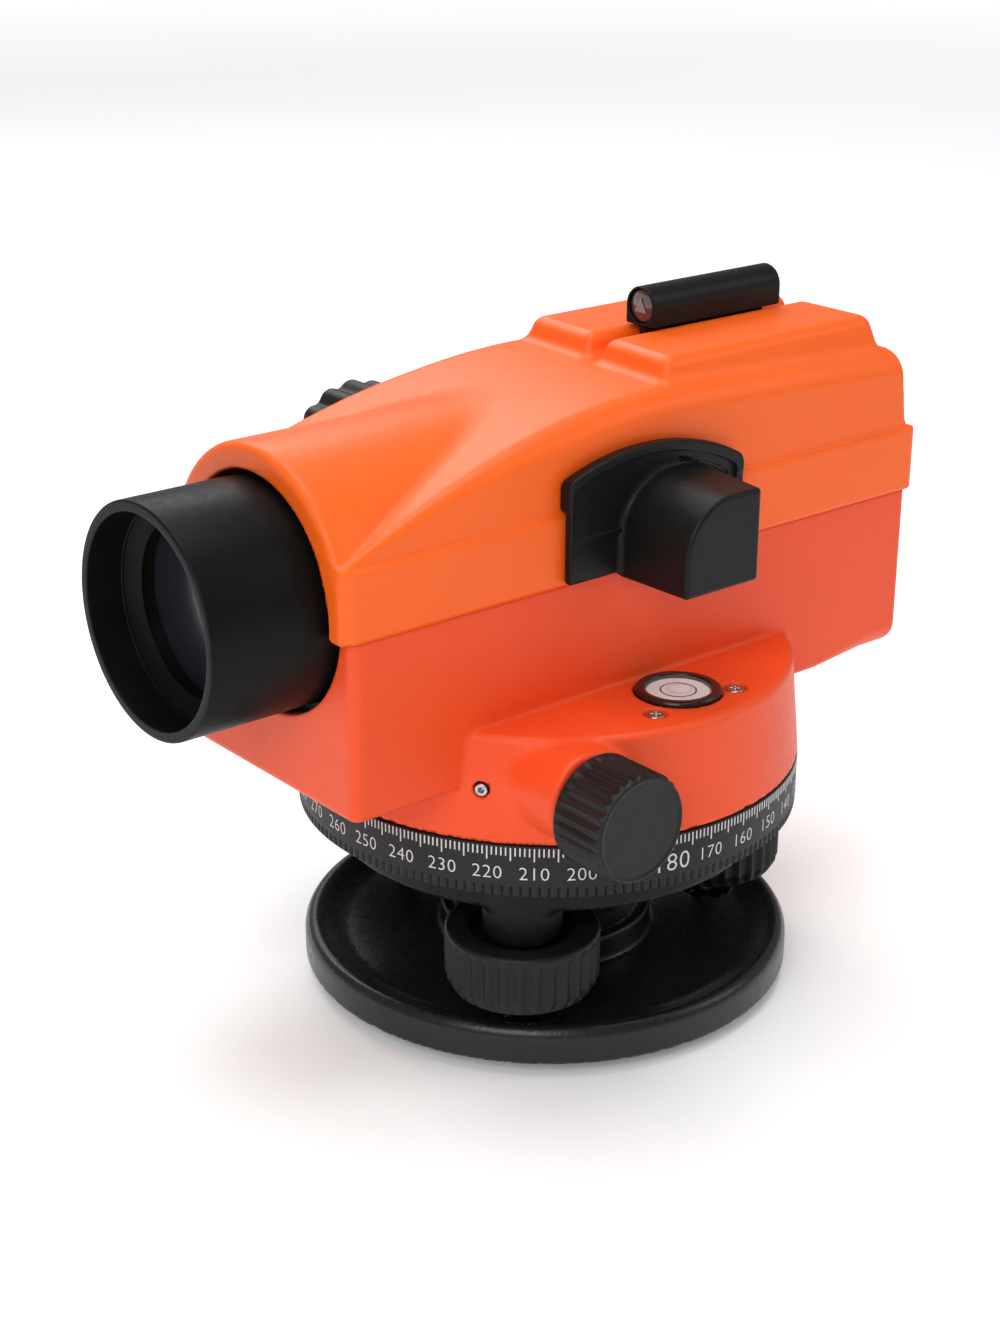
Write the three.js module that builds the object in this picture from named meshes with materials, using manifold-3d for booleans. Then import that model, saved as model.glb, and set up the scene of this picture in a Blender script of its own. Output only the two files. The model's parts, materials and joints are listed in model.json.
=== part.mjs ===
// Automatic level: telescope with compensator on a three-screw levelling base.
// Millimetres, +Z up. The vertical axis is x = y = 0 and the underside is z = 0.
// The telescope lies along X with its objective towards -X and its eyepiece towards +X.
// The circular bubble and its mirror housing are on the -Y side, the focusing knob on the +Y side.

import * as THREE from 'three';
import Module from 'manifold-3d';
import { mergeVertices } from 'three/addons/utils/BufferGeometryUtils.js';

const wasm = await Module();
wasm.setup();

// ---------------------------------------------------------------- driving dimensions

const GAP = 0.3; // between two pieces that touch

// telescope line
const AXIS_Z = 109.7;
const OBJECTIVE_END_X = -105;
const EYEPIECE_END_X = 105;
const HOOD_R = 24.66;
const HOOD_BORE_R = 22.3;
const FRONT_HOLE_R = 25.85;

// base plate and levelling screws
const BASE_R = 57.5;
const BASE_RIM_Z = 12;
const BASE_FLOOR_Z = 8.4;
const PLATE_TOP_Z = 2.4;
const INSERT_R = 11;
const THREAD_R = 7.94; // 5/8 inch tripod thread
const FOOT_PITCH_R = 43.4;
const FOOT_ANGLE = -137.3;
const FOOT_KNOB_R = 17.2;
const FOOT_KNOB_Z = [14.4, 30.3];
const FOOT_BALL_Z = 9.4;
const FOOT_TOP_Z = 41;
const LEG_R = 8.9;
const LEG_END_Z = 28.6;

// levelling head, circle and vertical axis
const HEAD_Z = [36.6, 43.9];
const HEAD_R = 50;
const HUB_R = 23.4;
const HUB_END_Z = 19;
const CIRCLE_R = 58.05;
const CIRCLE_Z = [44.2, 56.2];
const SLEEVE_R = 13.4;
const SPINDLE_R = 9.6;
const SPINDLE_END_Z = 20.5;
const SLEEVE_TOP_Z = 61.4;
const AXIS_SEGMENTS = 32;
const CIRCLE_BORE_R = 44;

// drum of the lower housing and worm drive
const DRUM_Z = [56.6, 80];
const DRUM_R = [58, 55.8];
const WORM_X = -32.8;
const WORM_Z = 67.6;
const WORM_R = 4.2;
const WORM_SHAFT_R = 2;
const WHEEL_TEETH = 72;
const WHEEL_TIP_R = 28.9;
const KNOB_Y = [53.2, 67.8];
const KNOB_R = 12;
const BOSS_R = 10.6;
const BOSS_Z = 69.1;

// lower housing and upper cover
const HOUSING_X = [-76.5, 86.8];
const HOUSING_HALF = 29.7;
const HOUSING_Z = [67.4, 106.8];
const FLOOR_Z = 77.5;
const COVER_X = [-79, 83];
const COVER_HALF = 30;
const BAND_X = [-79, 87.8];
const BAND_HALF = 31.1;
const BAND_Z = [107.1, 122.4];
const BARREL_R = 31.5;
const PAD_TOP_Z = 149;
const WALL = 2.6;
const POST_X = [-58, 76];
const POST_Y = 22;
const POST_R = 4;
const SCREW_R = 1.6;
const SCREW_HEAD_R = 2.9;
const REAR_BOSS_R = 19.8;
const EYE_HOLE_R = 13.4;

// focusing drive
const FOCUS_X = -18;
const FOCUS_Z = 116.5;
const FOCUS_KNOB_R = 17.7;
const FOCUS_KNOB_Y = [34.5, 52];
const PINION_TEETH = 12;
const PINION_PITCH_R = 3;

// circular bubble and its mirror housing
const BUBBLE_X = 2.8;
const BUBBLE_Y = -40.2;
const BUBBLE_R = 9.5;

// optical sight on top of the cover
const SIGHT_Z = 153.9;
const SIGHT_BORE_R = 3.4;

// ---------------------------------------------------------------- materials

function paint(color, roughness, metalness = 0) {
  return new THREE.MeshStandardMaterial({ color, roughness, metalness });
}

const casting = () => paint(0xe8502b, 0.55);
const coverPlastic = () => paint(0xff7a38, 0.4);
const blackPaint = () => paint(0x2c2c2c, 0.45);
const blackPlastic = () => paint(0x262626, 0.5);
const knobPlastic = () => paint(0x343434, 0.6);
const rubber = () => paint(0x1c1c1c, 0.85);
const steel = () => paint(0xb9bcc0, 0.3, 1);
const brass = () => paint(0xc49a4a, 0.35, 1);
const aluminium = () => paint(0xa9acb0, 0.4, 1);
const lensGlass = () => paint(0x9fb8c8, 0.05);
const mirrorGlass = () => paint(0xe6e8ea, 0.05, 1);
const vialWhite = () => paint(0xe9eaec, 0.25);

// ---------------------------------------------------------------- solids and meshes

function solid(geometry) {
  const bare = geometry.clone();
  bare.deleteAttribute('normal');
  bare.deleteAttribute('uv');
  const merged = mergeVertices(bare, 1e-4);
  const index = merged.index.array;
  const kept = [];
  for (let i = 0; i < index.length; i += 3) {
    const [a, b, c] = [index[i], index[i + 1], index[i + 2]];
    if (a !== b && b !== c && c !== a) kept.push(a, b, c);
  }
  return new wasm.Manifold(new wasm.Mesh({
    numProp: 3,
    vertProperties: new Float32Array(merged.attributes.position.array),
    triVerts: new Uint32Array(kept),
  }));
}

function mesh(name, body, material) {
  const { vertProperties, triVerts, numProp } = body.getMesh();
  const position = new Float32Array((vertProperties.length / numProp) * 3);
  for (let i = 0; i < position.length / 3; i += 1) {
    for (let k = 0; k < 3; k += 1) position[3 * i + k] = vertProperties[numProp * i + k];
  }
  const geometry = new THREE.BufferGeometry();
  geometry.setAttribute('position', new THREE.BufferAttribute(position, 3));
  geometry.setIndex(new THREE.BufferAttribute(new Uint32Array(triVerts), 1));
  geometry.computeVertexNormals();
  const part = new THREE.Mesh(geometry, material);
  part.name = name;
  return part;
}

// turns a shape made along +Z so that it runs along another row axis
const TURN = {
  z: new THREE.Matrix4(),
  x: new THREE.Matrix4().set(0, 0, 1, 0, 1, 0, 0, 0, 0, 1, 0, 0, 0, 0, 0, 1),
  y: new THREE.Matrix4().set(0, 1, 0, 0, 0, 0, 1, 0, 1, 0, 0, 0, 0, 0, 0, 1),
};

function place(geometry, axis, at) {
  geometry.applyMatrix4(TURN[axis]);
  geometry.translate(...at);
  return solid(geometry);
}

function signedArea(points) {
  return THREE.ShapeUtils.area(points.map(([u, v]) => new THREE.Vector2(u, v)));
}

// a profile of [radius, height] pairs turned about an axis through `at`
function revolve(profile, { axis = 'z', at = [0, 0, 0], segments = 32 } = {}) {
  const outline = signedArea(profile) > 0 ? profile : [...profile].reverse();
  const points = outline.map(([r, h]) => new THREE.Vector2(r, h));
  points.push(points[0].clone());
  const geometry = new THREE.LatheGeometry(points, segments);
  geometry.rotateX(Math.PI / 2);
  return place(geometry, axis, at);
}

function cylinder(radius, low, high, options) {
  return revolve([[0, low], [radius, low], [radius, high], [0, high]], options);
}

function tube(outer, inner, low, high, options) {
  return revolve([[inner, low], [outer, low], [outer, high], [inner, high]], options);
}

// an outline extruded along an axis: [x, y] for z, [y, z] for x, [z, x] for y
function prism(outline, low, high, { axis = 'z', at = [0, 0, 0] } = {}) {
  const shape = new THREE.Shape(outline.map(([u, v]) => new THREE.Vector2(u, v)));
  const geometry = new THREE.ExtrudeGeometry(shape, { depth: high - low, bevelEnabled: false });
  geometry.translate(0, 0, low);
  return place(geometry, axis, at);
}

function box(x, y, z) {
  return prism([[x[0], y[0]], [x[1], y[0]], [x[1], y[1]], [x[0], y[1]]], z[0], z[1]);
}

// a smooth skin over sections that have the same number of [x, y, z] points
function loft(sections) {
  const count = sections[0].length;
  const index = [];
  for (let s = 0; s + 1 < sections.length; s += 1) {
    for (let i = 0; i < count; i += 1) {
      const j = (i + 1) % count;
      const [a, b] = [s * count + i, s * count + j];
      index.push(a, b, b + count, a, b + count, a + count);
    }
  }
  const last = (sections.length - 1) * count;
  for (let i = 1; i + 1 < count; i += 1) {
    index.push(0, i + 1, i);
    index.push(last, last + i, last + i + 1);
  }
  const geometry = new THREE.BufferGeometry();
  geometry.setAttribute('position', new THREE.Float32BufferAttribute(sections.flat(2), 3));
  geometry.setIndex(index);
  const body = solid(geometry);
  if (body.volume() > 0) return body;
  for (let i = 0; i < index.length; i += 3) [index[i], index[i + 1]] = [index[i + 1], index[i]];
  geometry.setIndex(index);
  return solid(geometry);
}

function arc(centre, radius, from, to, steps) {
  return Array.from({ length: steps + 1 }, (_, i) => {
    const angle = THREE.MathUtils.degToRad(from + ((to - from) * i) / steps);
    return [centre[0] + radius[0] * Math.cos(angle), centre[1] + radius[1] * Math.sin(angle)];
  });
}

function roundedRect(u, v, radius, steps = 4) {
  const r = [radius, radius];
  return [
    ...arc([u[1] - radius, v[0] + radius], r, -90, 0, steps),
    ...arc([u[1] - radius, v[1] - radius], r, 0, 90, steps),
    ...arc([u[0] + radius, v[1] - radius], r, 90, 180, steps),
    ...arc([u[0] + radius, v[0] + radius], r, 180, 270, steps),
  ];
}

// a round outline with `count` rounded ribs
function ribbed(radius, depth, count, perRib = 4) {
  return Array.from({ length: count * perRib }, (_, i) => {
    const phase = (i / perRib) * 2 * Math.PI;
    const r = radius - (depth * (1 - Math.cos(phase))) / 2;
    const angle = phase / count;
    return [r * Math.cos(angle), r * Math.sin(angle)];
  });
}

// a gear outline with pointed teeth; `turn` is the angle of the first tooth tip
function toothed(tip, root, count, turn = 0) {
  const points = [];
  for (let i = 0; i < count; i += 1) {
    for (const [part, r] of [[-0.5, root], [-0.08, tip], [0.08, tip]]) {
      const angle = turn + ((i + part) / count) * 2 * Math.PI;
      points.push([r * Math.cos(angle), r * Math.sin(angle)]);
    }
  }
  return points;
}

const level = new THREE.Group();

function add(name, body, material) {
  level.add(mesh(name, body, material()));
}

// ---------------------------------------------------------------- base

function basePlate() {
  const rim = [
    ...arc([BASE_R - 3, BASE_RIM_Z - 3], [3, 3], 0, 90, 2),
    [BASE_R - 8, BASE_FLOOR_Z],
  ];
  let plate = revolve([
    [INSERT_R + GAP, PLATE_TOP_Z + GAP],
    [BASE_R, PLATE_TOP_Z + GAP],
    ...rim,
    [25, BASE_FLOOR_Z],
    [25, 15],
    [22, 15],
    [21.6, 12.6],
    [INSERT_R + GAP, 12.6],
  ], { segments: 40 });
  for (const [x, y] of footPlaces()) {
    const socket = revolve([[0, 4.6], [4.6, 4.6], [6.4, 9], [0, 9]], { at: [x, y, 0], segments: 8 });
    plate = plate.subtract(socket);
  }
  return plate;
}

function footPlaces() {
  return [0, 120, 240].map((step) => {
    const angle = THREE.MathUtils.degToRad(FOOT_ANGLE + step);
    return [FOOT_PITCH_R * Math.cos(angle), FOOT_PITCH_R * Math.sin(angle)];
  });
}

function footKnob([x, y]) {
  const [low, high] = FOOT_KNOB_Z;
  return revolve([
    [3.7, low],
    [FOOT_KNOB_R - 6, low],
    [FOOT_KNOB_R - 1.6, low + 1.8],
    [FOOT_KNOB_R, low + 4.6],
    [FOOT_KNOB_R, high - 1],
    [FOOT_KNOB_R - 0.8, high],
    [11.9, high],
    [11.9, high - 3.8],
    [3.7, high - 3.8],
  ], { at: [x, y, 0], segments: 20 });
}

function footScrew([x, y]) {
  return revolve([
    [0, FOOT_BALL_Z - 3.4],
    [2.2, FOOT_BALL_Z - 2.8],
    [3.4, FOOT_BALL_Z],
    [2.2, FOOT_BALL_Z + 2.8],
    [3.4, FOOT_BALL_Z + 5],
    [3.4, FOOT_TOP_Z],
    [0, FOOT_TOP_Z],
  ], { at: [x, y, 0], segments: 10 });
}

function levellingHead() {
  let head = revolve([
    [SLEEVE_R + GAP, HUB_END_Z],
    [HUB_R - 2.5, HUB_END_Z],
    [HUB_R, HUB_END_Z + 2.5],
    [HUB_R, HEAD_Z[0]],
    [HEAD_R, HEAD_Z[0]],
    [HEAD_R, HEAD_Z[1]],
    [SLEEVE_R + GAP, HEAD_Z[1]],
  ], { segments: 40 });
  for (const [x, y] of footPlaces()) {
    const at = [x, y, 0];
    head = head.add(cylinder(LEG_R, LEG_END_Z, HEAD_Z[0] + 1, { at, segments: 16 }));
    head = head.subtract(cylinder(4.3, LEG_END_Z - 1, 42.6, { at, segments: 10 }));
  }
  return head;
}

// the bore clears the spindle's facets at every angle of the swing
function axisSleeve() {
  const bore = SPINDLE_R / Math.cos(Math.PI / AXIS_SEGMENTS) + 0.02;
  return tube(SLEEVE_R, bore, HUB_END_Z + 1, SLEEVE_TOP_Z, { segments: AXIS_SEGMENTS });
}

function addBase() {
  const flat = tube(51.5, 9.2, 0, PLATE_TOP_Z, { segments: 32 });
  add('mounting_plate', flat, blackPaint);
  add('base_plate', basePlate(), blackPaint);
  add('tripod_thread_bush', tube(INSERT_R, THREAD_R, PLATE_TOP_Z + GAP, 14, { segments: 20 }), brass);
  add('levelling_head', levellingHead(), blackPaint);
  add('axis_sleeve', axisSleeve(), brass);
  footPlaces().forEach((spot, i) => {
    const name = ['front', 'rear', 'side'][i];
    add(`${name}_foot_knob`, footKnob(spot), knobPlastic);
    add(`${name}_foot_screw`, footScrew(spot), steel);
  });
}

// ---------------------------------------------------------------- circle, axis and worm drive

function horizontalCircle() {
  const [low, high] = CIRCLE_Z;
  return revolve([
    [CIRCLE_BORE_R, low],
    [CIRCLE_R, low],
    [CIRCLE_R, high],
    [CIRCLE_BORE_R, high],
  ], { segments: 48 });
}

function spindle() {
  return revolve([
    [0, SPINDLE_END_Z],
    [SPINDLE_R, SPINDLE_END_Z],
    [SPINDLE_R, 71.6],
    [21, 71.6],
    [21, FLOOR_Z - 3.3],
    [0, FLOOR_Z - 3.3],
  ], { segments: AXIS_SEGMENTS });
}

function wormWheel() {
  const teeth = prism(toothed(WHEEL_TIP_R, WHEEL_TIP_R - 1.1, WHEEL_TEETH), WORM_Z - 2.4, WORM_Z + 2.4);
  const hub = cylinder(17.5, SLEEVE_TOP_Z + GAP, WORM_Z, { segments: 24 });
  return teeth.add(hub).subtract(cylinder(SPINDLE_R + 0.4, 60, 72, { segments: 24 }));
}

// a shaft with a worm in its middle, whose thread stands between two wheel teeth at rest
function wormShaft() {
  const lead = (2 * Math.PI * (WHEEL_TIP_R - 0.55)) / WHEEL_TEETH;
  const [half, around, perTurn] = [4, 8, 4];
  const rings = Math.round((2 * half * perTurn) / lead);
  const sections = [];
  for (let k = 0; k <= rings; k += 1) {
    const y = -half + (2 * half * k) / rings;
    sections.push(Array.from({ length: around }, (_, i) => {
      const angle = (i / around) * 2 * Math.PI;
      const phase = 2 * Math.PI * (y / lead) - angle;
      const r = WORM_R - 0.5 - 0.5 * Math.cos(phase);
      return [WORM_X + r * Math.cos(angle), y, WORM_Z + r * Math.sin(angle)];
    }));
  }
  const line = { axis: 'y', at: [WORM_X, 0, WORM_Z], segments: 10 };
  return loft(sections).add(cylinder(WORM_SHAFT_R, -62, 62, line));
}

function tangentKnob(side) {
  const [near, far] = KNOB_Y;
  const profile = [
    [WORM_SHAFT_R + GAP, near],
    [KNOB_R - 0.9, near],
    [KNOB_R, near + 1.2],
    [KNOB_R, far - 2.6],
    [KNOB_R - 1, far - 0.6],
    [KNOB_R - 1.8, far],
    [0, far],
    [0, far - 4],
    [WORM_SHAFT_R + GAP, far - 4],
  ].map(([r, y]) => [r, side * y]);
  return revolve(profile, { axis: 'y', at: [WORM_X, 0, WORM_Z], segments: 20 });
}

function addDrive() {
  add('horizontal_circle', horizontalCircle(), blackPaint);
  add('spindle', spindle(), steel);
  add('worm_wheel', wormWheel(), brass);
  add('worm_shaft', wormShaft(), steel);
  add('near_tangent_knob', tangentKnob(-1), knobPlastic);
  add('far_tangent_knob', tangentKnob(1), knobPlastic);
}

// ---------------------------------------------------------------- lower housing

function blocks(outlineAt, stations) {
  return loft(stations.map((h) => outlineAt(h).map(([x, y]) => [x, y, h])));
}

function housingOuter() {
  const [low, high] = HOUSING_Z;
  const corner = 4;
  const body = blocks((z) => {
    const inset = z < low + 1 ? 1.6 : 0;
    const half = HOUSING_HALF - inset;
    return roundedRect([HOUSING_X[0] + inset, HOUSING_X[1] - inset], [-half, half], corner - inset);
  }, [low, low + 1.6, high]);
  const drum = revolve([
    [0, DRUM_Z[0]],
    [DRUM_R[0], DRUM_Z[0]],
    [DRUM_R[1] + 0.1, DRUM_Z[1] - 1.4],
    [DRUM_R[1] - 1.3, DRUM_Z[1]],
    [0, DRUM_Z[1]],
  ], { segments: 48 });
  const rear = cylinder(REAR_BOSS_R, 70, BAND_X[1], { axis: 'x', at: [0, 0, AXIS_Z], segments: 28 });
  const slab = box([60, 100], [-40, 40], [60, high]);
  return body.add(drum).add(rear.intersect(slab)).add(tangentBosses());
}

function tangentBosses() {
  const reach = KNOB_Y[0] - 0.8;
  const boss = revolve([
    [0, -reach],
    [BOSS_R - 1, -reach],
    [BOSS_R, -reach + 1.2],
    [BOSS_R, reach - 1.2],
    [BOSS_R - 1, reach],
    [0, reach],
  ], { axis: 'y', at: [WORM_X, 0, BOSS_Z], segments: 20 });
  return boss.intersect(box([-60, 0], [-60, 60], [DRUM_Z[0], DRUM_Z[1] - 1]));
}

function housingHollow() {
  const inner = HOUSING_HALF - WALL;
  const room = blocks(
    () => roundedRect([HOUSING_X[0] + WALL, HOUSING_X[1] - WALL], [-inner, inner], 2),
    [HOUSING_Z[0] + 3, HOUSING_Z[1] + 5],
  ).subtract(cylinder(DRUM_R[0], 0, FLOOR_Z, { segments: 32 }));
  const well = cylinder(54, 50, FLOOR_Z - 3, { segments: 32 });
  const ears = cylinder(52.6, 60, DRUM_Z[1] - WALL, { segments: 32 })
    .subtract(box([-90, 90], [-HOUSING_HALF, HOUSING_HALF], [0, 100]));
  return room.add(well).add(ears);
}

function postHoles(body, spots, radius, low, high) {
  let cut = body;
  for (const [x, y] of spots) {
    cut = cut.subtract(cylinder(radius, low, high, { at: [x, y, 0], segments: 10 }));
  }
  return cut;
}

const POSTS = POST_X.flatMap((x) => [-POST_Y, POST_Y].map((y) => [x, y]));
const BUBBLE_SCREWS = [[-9.5, -46.2], [13.7, -46.7]];
const GRUB_ANGLE = 215.3;
const GRUB_Z = 68;

function lowerHousing() {
  let body = housingOuter().subtract(housingHollow());
  for (const [x, y] of POSTS) {
    body = body.add(cylinder(POST_R, HOUSING_Z[0] + 2, HOUSING_Z[1], { at: [x, y, 0], segments: 16 }));
  }
  body = postHoles(body, POSTS, SCREW_HEAD_R + 0.4, HOUSING_Z[0] - 1, HOUSING_Z[0] + 4.5);
  body = postHoles(body, POSTS, SCREW_R + GAP, HOUSING_Z[0], HOUSING_Z[1] + 1);
  body = postHoles(body, BUBBLE_SCREWS, 2.7, DRUM_Z[1] - 1.4, DRUM_Z[1] + 1);
  body = postHoles(body, BUBBLE_SCREWS, 1.1, DRUM_Z[1] - 5, DRUM_Z[1]);
  body = body.subtract(cylinder(BUBBLE_R + GAP, 70, 90, { at: [BUBBLE_X, BUBBLE_Y, 0], segments: 24 }));
  body = body.subtract(cylinder(FRONT_HOLE_R, -90, -60, { axis: 'x', at: [0, 0, AXIS_Z], segments: 32 }));
  body = body.subtract(cylinder(EYE_HOLE_R, 60, 100, { axis: 'x', at: [0, 0, AXIS_Z], segments: 20 }));
  const wormLine = { axis: 'y', at: [WORM_X, 0, WORM_Z], segments: 16 };
  body = body.subtract(cylinder(WORM_SHAFT_R + GAP, -70, 70, wormLine));
  body = body.subtract(cylinder(3, 60, 76, { segments: 12 }));
  return body.subtract(radial(1.7, 50, 60, GRUB_ANGLE, GRUB_Z));
}

// a cylinder that points away from the vertical axis
function radial(radius, low, high, angle, z) {
  return cylinder(radius, low, high, { axis: 'x', segments: 10 }).rotate([0, 0, angle]).translate([0, 0, z]);
}

// ---------------------------------------------------------------- upper cover

// height of the shoulder, which rises from the front corners to the flat rear top
function shoulder(x) {
  const [start, crest] = [COVER_X[0], 11];
  if (x > crest) return 143.8 - 0.043 * (x - crest);
  const run = (x - start) / (crest - start);
  return 122 + 21.8 * (1 - (1 - run) ** 2);
}

function coverSection(x, inset, low) {
  const half = COVER_HALF - inset;
  const ridge = shoulder(x) - inset;
  const side = arc([half - 6, ridge - 3.2], [6, 5.1], 0, 90, inset ? 2 : 4);
  const right = [[half, low], ...side];
  const left = [...right].reverse().map(([y, z]) => [-y, z]);
  return [...right, ...left].map(([y, z]) => [x, y, z]);
}

function coverHump(inset, from, to, low) {
  const sections = [];
  const steps = inset ? 5 : 10;
  for (let i = 0; i <= steps; i += 1) {
    const bend = (i / steps) ** 1.15;
    sections.push(coverSection(from + (to - from) * bend, inset, low));
  }
  return loft(sections);
}

function pads() {
  const pad = (side) => blocks((z) => {
    const draft = z > 146 ? 1.3 : 0;
    const y = [side * (2 + draft * 0.7), side * (25 - draft)].sort((a, b) => a - b);
    return roundedRect([12 + draft, 77 - draft], y, 2.4 - draft, 2);
  }, [142, 145, PAD_TOP_Z - 0.5]);
  return pad(-1).add(pad(1));
}

function coverOuter() {
  const cut = box([-90, 100], [-COVER_HALF, COVER_HALF], [BAND_Z[0], 160]);
  const line = { axis: 'x', at: [0, 0, AXIS_Z], segments: 48 };
  const barrel = revolve([
    [0, COVER_X[0]],
    [BARREL_R - 1.4, COVER_X[0]],
    [BARREL_R, COVER_X[0] + 1.4],
    [BARREL_R, 10],
    [0, 10],
  ], line);
  const band = blocks((z) => {
    const inset = z > BAND_Z[1] - 0.5 ? 1.4 : 0;
    const half = BAND_HALF - inset;
    return roundedRect([BAND_X[0] + inset, BAND_X[1] - inset], [-half, half], 3 - inset);
  }, [BAND_Z[0], BAND_Z[1] - 1.4, BAND_Z[1] + 0.4]);
  const rear = cylinder(REAR_BOSS_R, 70, BAND_X[1], { ...line, segments: 28 });
  const hump = coverHump(0, COVER_X[0], COVER_X[1], BAND_Z[0]);
  return barrel.add(rear).intersect(cut).add(band).add(hump).add(pads());
}

function coverHollow() {
  const low = BAND_Z[0] - 5;
  const line = { axis: 'x', at: [0, 0, AXIS_Z], segments: 32 };
  const barrel = cylinder(BARREL_R - WALL, COVER_X[0] + WALL, 10, line);
  return barrel.add(coverHump(WALL, COVER_X[0] + WALL, COVER_X[1] - WALL, low));
}

function upperCover() {
  let cover = coverOuter().subtract(coverHollow());
  for (const [x, y] of POSTS) {
    const post = cylinder(POST_R, BAND_Z[0], 141, { at: [x, y, 0], segments: 12 });
    cover = cover.add(post.intersect(coverOuter()));
  }
  cover = postHoles(cover, POSTS, SCREW_R + GAP, BAND_Z[0] - 1, 116);
  cover = cover.subtract(cylinder(FRONT_HOLE_R, -90, -60, { axis: 'x', at: [0, 0, AXIS_Z], segments: 32 }));
  cover = cover.subtract(cylinder(EYE_HOLE_R, 60, 100, { axis: 'x', at: [0, 0, AXIS_Z], segments: 20 }));
  const focusHole = { axis: 'y', at: [FOCUS_X, 0, FOCUS_Z], segments: 16 };
  return cover.subtract(cylinder(2.8, 20, 40, focusHole));
}

function coverScrew([x, y]) {
  const head = HOUSING_Z[0] + 0.8;
  return revolve([
    [0, head],
    [SCREW_HEAD_R, head],
    [SCREW_HEAD_R, head + 3],
    [SCREW_R, head + 3.4],
    [SCREW_R, 115],
    [0, 115.6],
  ], { at: [x, y, 0], segments: 10 });
}

function addHousing() {
  add('lower_housing', lowerHousing(), casting);
  add('upper_cover', upperCover(), coverPlastic);
  POSTS.forEach((spot, i) => add(`cover_screw_${i + 1}`, coverScrew(spot), steel));
}

// ---------------------------------------------------------------- bubble, mirror housing and sight

function mirrorHousingOutline(inset) {
  const [left, right] = [-8 + inset, 13.6];
  const low = 106.4;
  const top = 127.4 - inset;
  const r = 12.4 - inset;
  return [[right, low], [right, top], ...arc([left + r, top - r], [r, r], 90, 180, 8), [left, low]];
}

function mirrorHousing() {
  const flange = (grow) => [
    [-23 - grow, 107.6],
    [27, 107.6],
    [27, 126.4],
    ...arc([-1, 108], [40, 26.4], 47.5, 121.7, 8),
    [-23 - grow, 129.2],
  ].map(([x, z]) => [z, x]);
  const lowPlate = prism(flange(0), -33.6, -31.1 - GAP, { axis: 'y' });
  const highPlate = prism(flange(0.6), -33.2, -COVER_HALF - GAP, { axis: 'y' })
    .intersect(box([-60, 60], [-40, -20], [BAND_Z[1] + 0.8, 160]));
  const outline = (y, grow) => mirrorHousingOutline(0)
    .map(([x, z]) => [x + (x < 0 ? -grow : 0), y, z + (z > 120 ? grow : 0)]);
  const hood = loft([outline(-33, 0.9), outline(-51.4, 0.1), outline(-52.3, -0.5)]);
  const throat = [[100, -5.8], [100, 20], [125.6, 20], [125.6, 13], [107, -5.8]];
  return lowPlate.add(highPlate).add(hood).subtract(prism(throat, -50.6, -34.6, { axis: 'y' }));
}

function bubbleMirror() {
  const face = [[106.6, -4.5], [107.2, -5.1], [125.2, 13], [124.6, 13.6]];
  return prism(face, -50.2, -35, { axis: 'y' });
}

function sightTube() {
  const round = arc([0, SIGHT_Z], [4.6, 4.5], 0, 180, 12);
  const outline = [[4.6, 149.5], ...round, [-4.6, 149.5]];
  const body = prism(outline, 26, 66.5, { axis: 'x' });
  const key = box([28, 64], [-1.6, 1.6], [147.4, 149.6]);
  const bore = cylinder(SIGHT_BORE_R, 20, 70, { axis: 'x', at: [0, 0, SIGHT_Z], segments: 24 });
  return body.add(key).subtract(bore);
}

function addSighting() {
  const at = [BUBBLE_X, BUBBLE_Y, 0];
  const cup = revolve([
    [0, 72], [BUBBLE_R, 72], [BUBBLE_R, 80.6], [BUBBLE_R - 0.4, 81], [7.3, 81], [7.3, 74.4], [0, 74.4],
  ], { at, segments: 24 });
  add('bubble_cup', cup, blackPlastic);
  add('bubble_dish', cylinder(7, 74.7, 76.6, { at, segments: 20 }), vialWhite);
  const vial = revolve([[0, 76.9], [7, 76.9], [7, 80], [6.4, 80.6], [0, 80.8]], { at, segments: 20 });
  add('bubble_vial', vial, lensGlass);
  BUBBLE_SCREWS.forEach(([x, y], i) => {
    const profile = [[0, 71.4], [0.8, 72.4], [0.8, 78.3], [0, 78.3]];
    const shank = revolve(profile, { at: [x, y, 0], segments: 10 });
    const head = cylinder(1.9, 78.9, 79.8, { at: [x, y, 0], segments: 14 });
    const neck = cylinder(0.8, 78, 79.2, { at: [x, y, 0], segments: 10 });
    add(`bubble_screw_${i + 1}`, shank.add(neck).add(head), steel);
  });
  add('clamp_grub_screw', radial(1.4, 51, 57.2, GRUB_ANGLE, GRUB_Z), steel);
  add('mirror_housing', mirrorHousing(), blackPlastic);
  add('bubble_mirror', bubbleMirror(), mirrorGlass);
  add('sight_tube', sightTube(), blackPlastic);
  const sightLine = { axis: 'x', at: [0, 0, SIGHT_Z], segments: 20 };
  add('sight_front_lens', cylinder(SIGHT_BORE_R - GAP, 27.2, 28.6, sightLine), lensGlass);
}

// ---------------------------------------------------------------- telescope optics

const OPTIC = { axis: 'x', at: [0, 0, AXIS_Z] };

function lens(radius, x, frontBulge, rearBulge, edge, segments = 16) {
  const points = [[0, x - frontBulge]];
  for (const k of [0.6, 1]) points.push([radius * k, x - frontBulge * (1 - k * k)]);
  for (const k of [1, 0.6]) points.push([radius * k, x + edge + rearBulge * (1 - k * k)]);
  points.push([0, x + edge + rearBulge]);
  return revolve(points, { ...OPTIC, segments });
}

function objectiveHood() {
  return revolve([
    [HOOD_BORE_R, OBJECTIVE_END_X],
    [HOOD_R - 0.4, OBJECTIVE_END_X],
    [HOOD_R, OBJECTIVE_END_X + 0.4],
    [HOOD_R, -64],
    [HOOD_BORE_R, -64],
  ], { ...OPTIC, segments: 40 });
}

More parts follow.
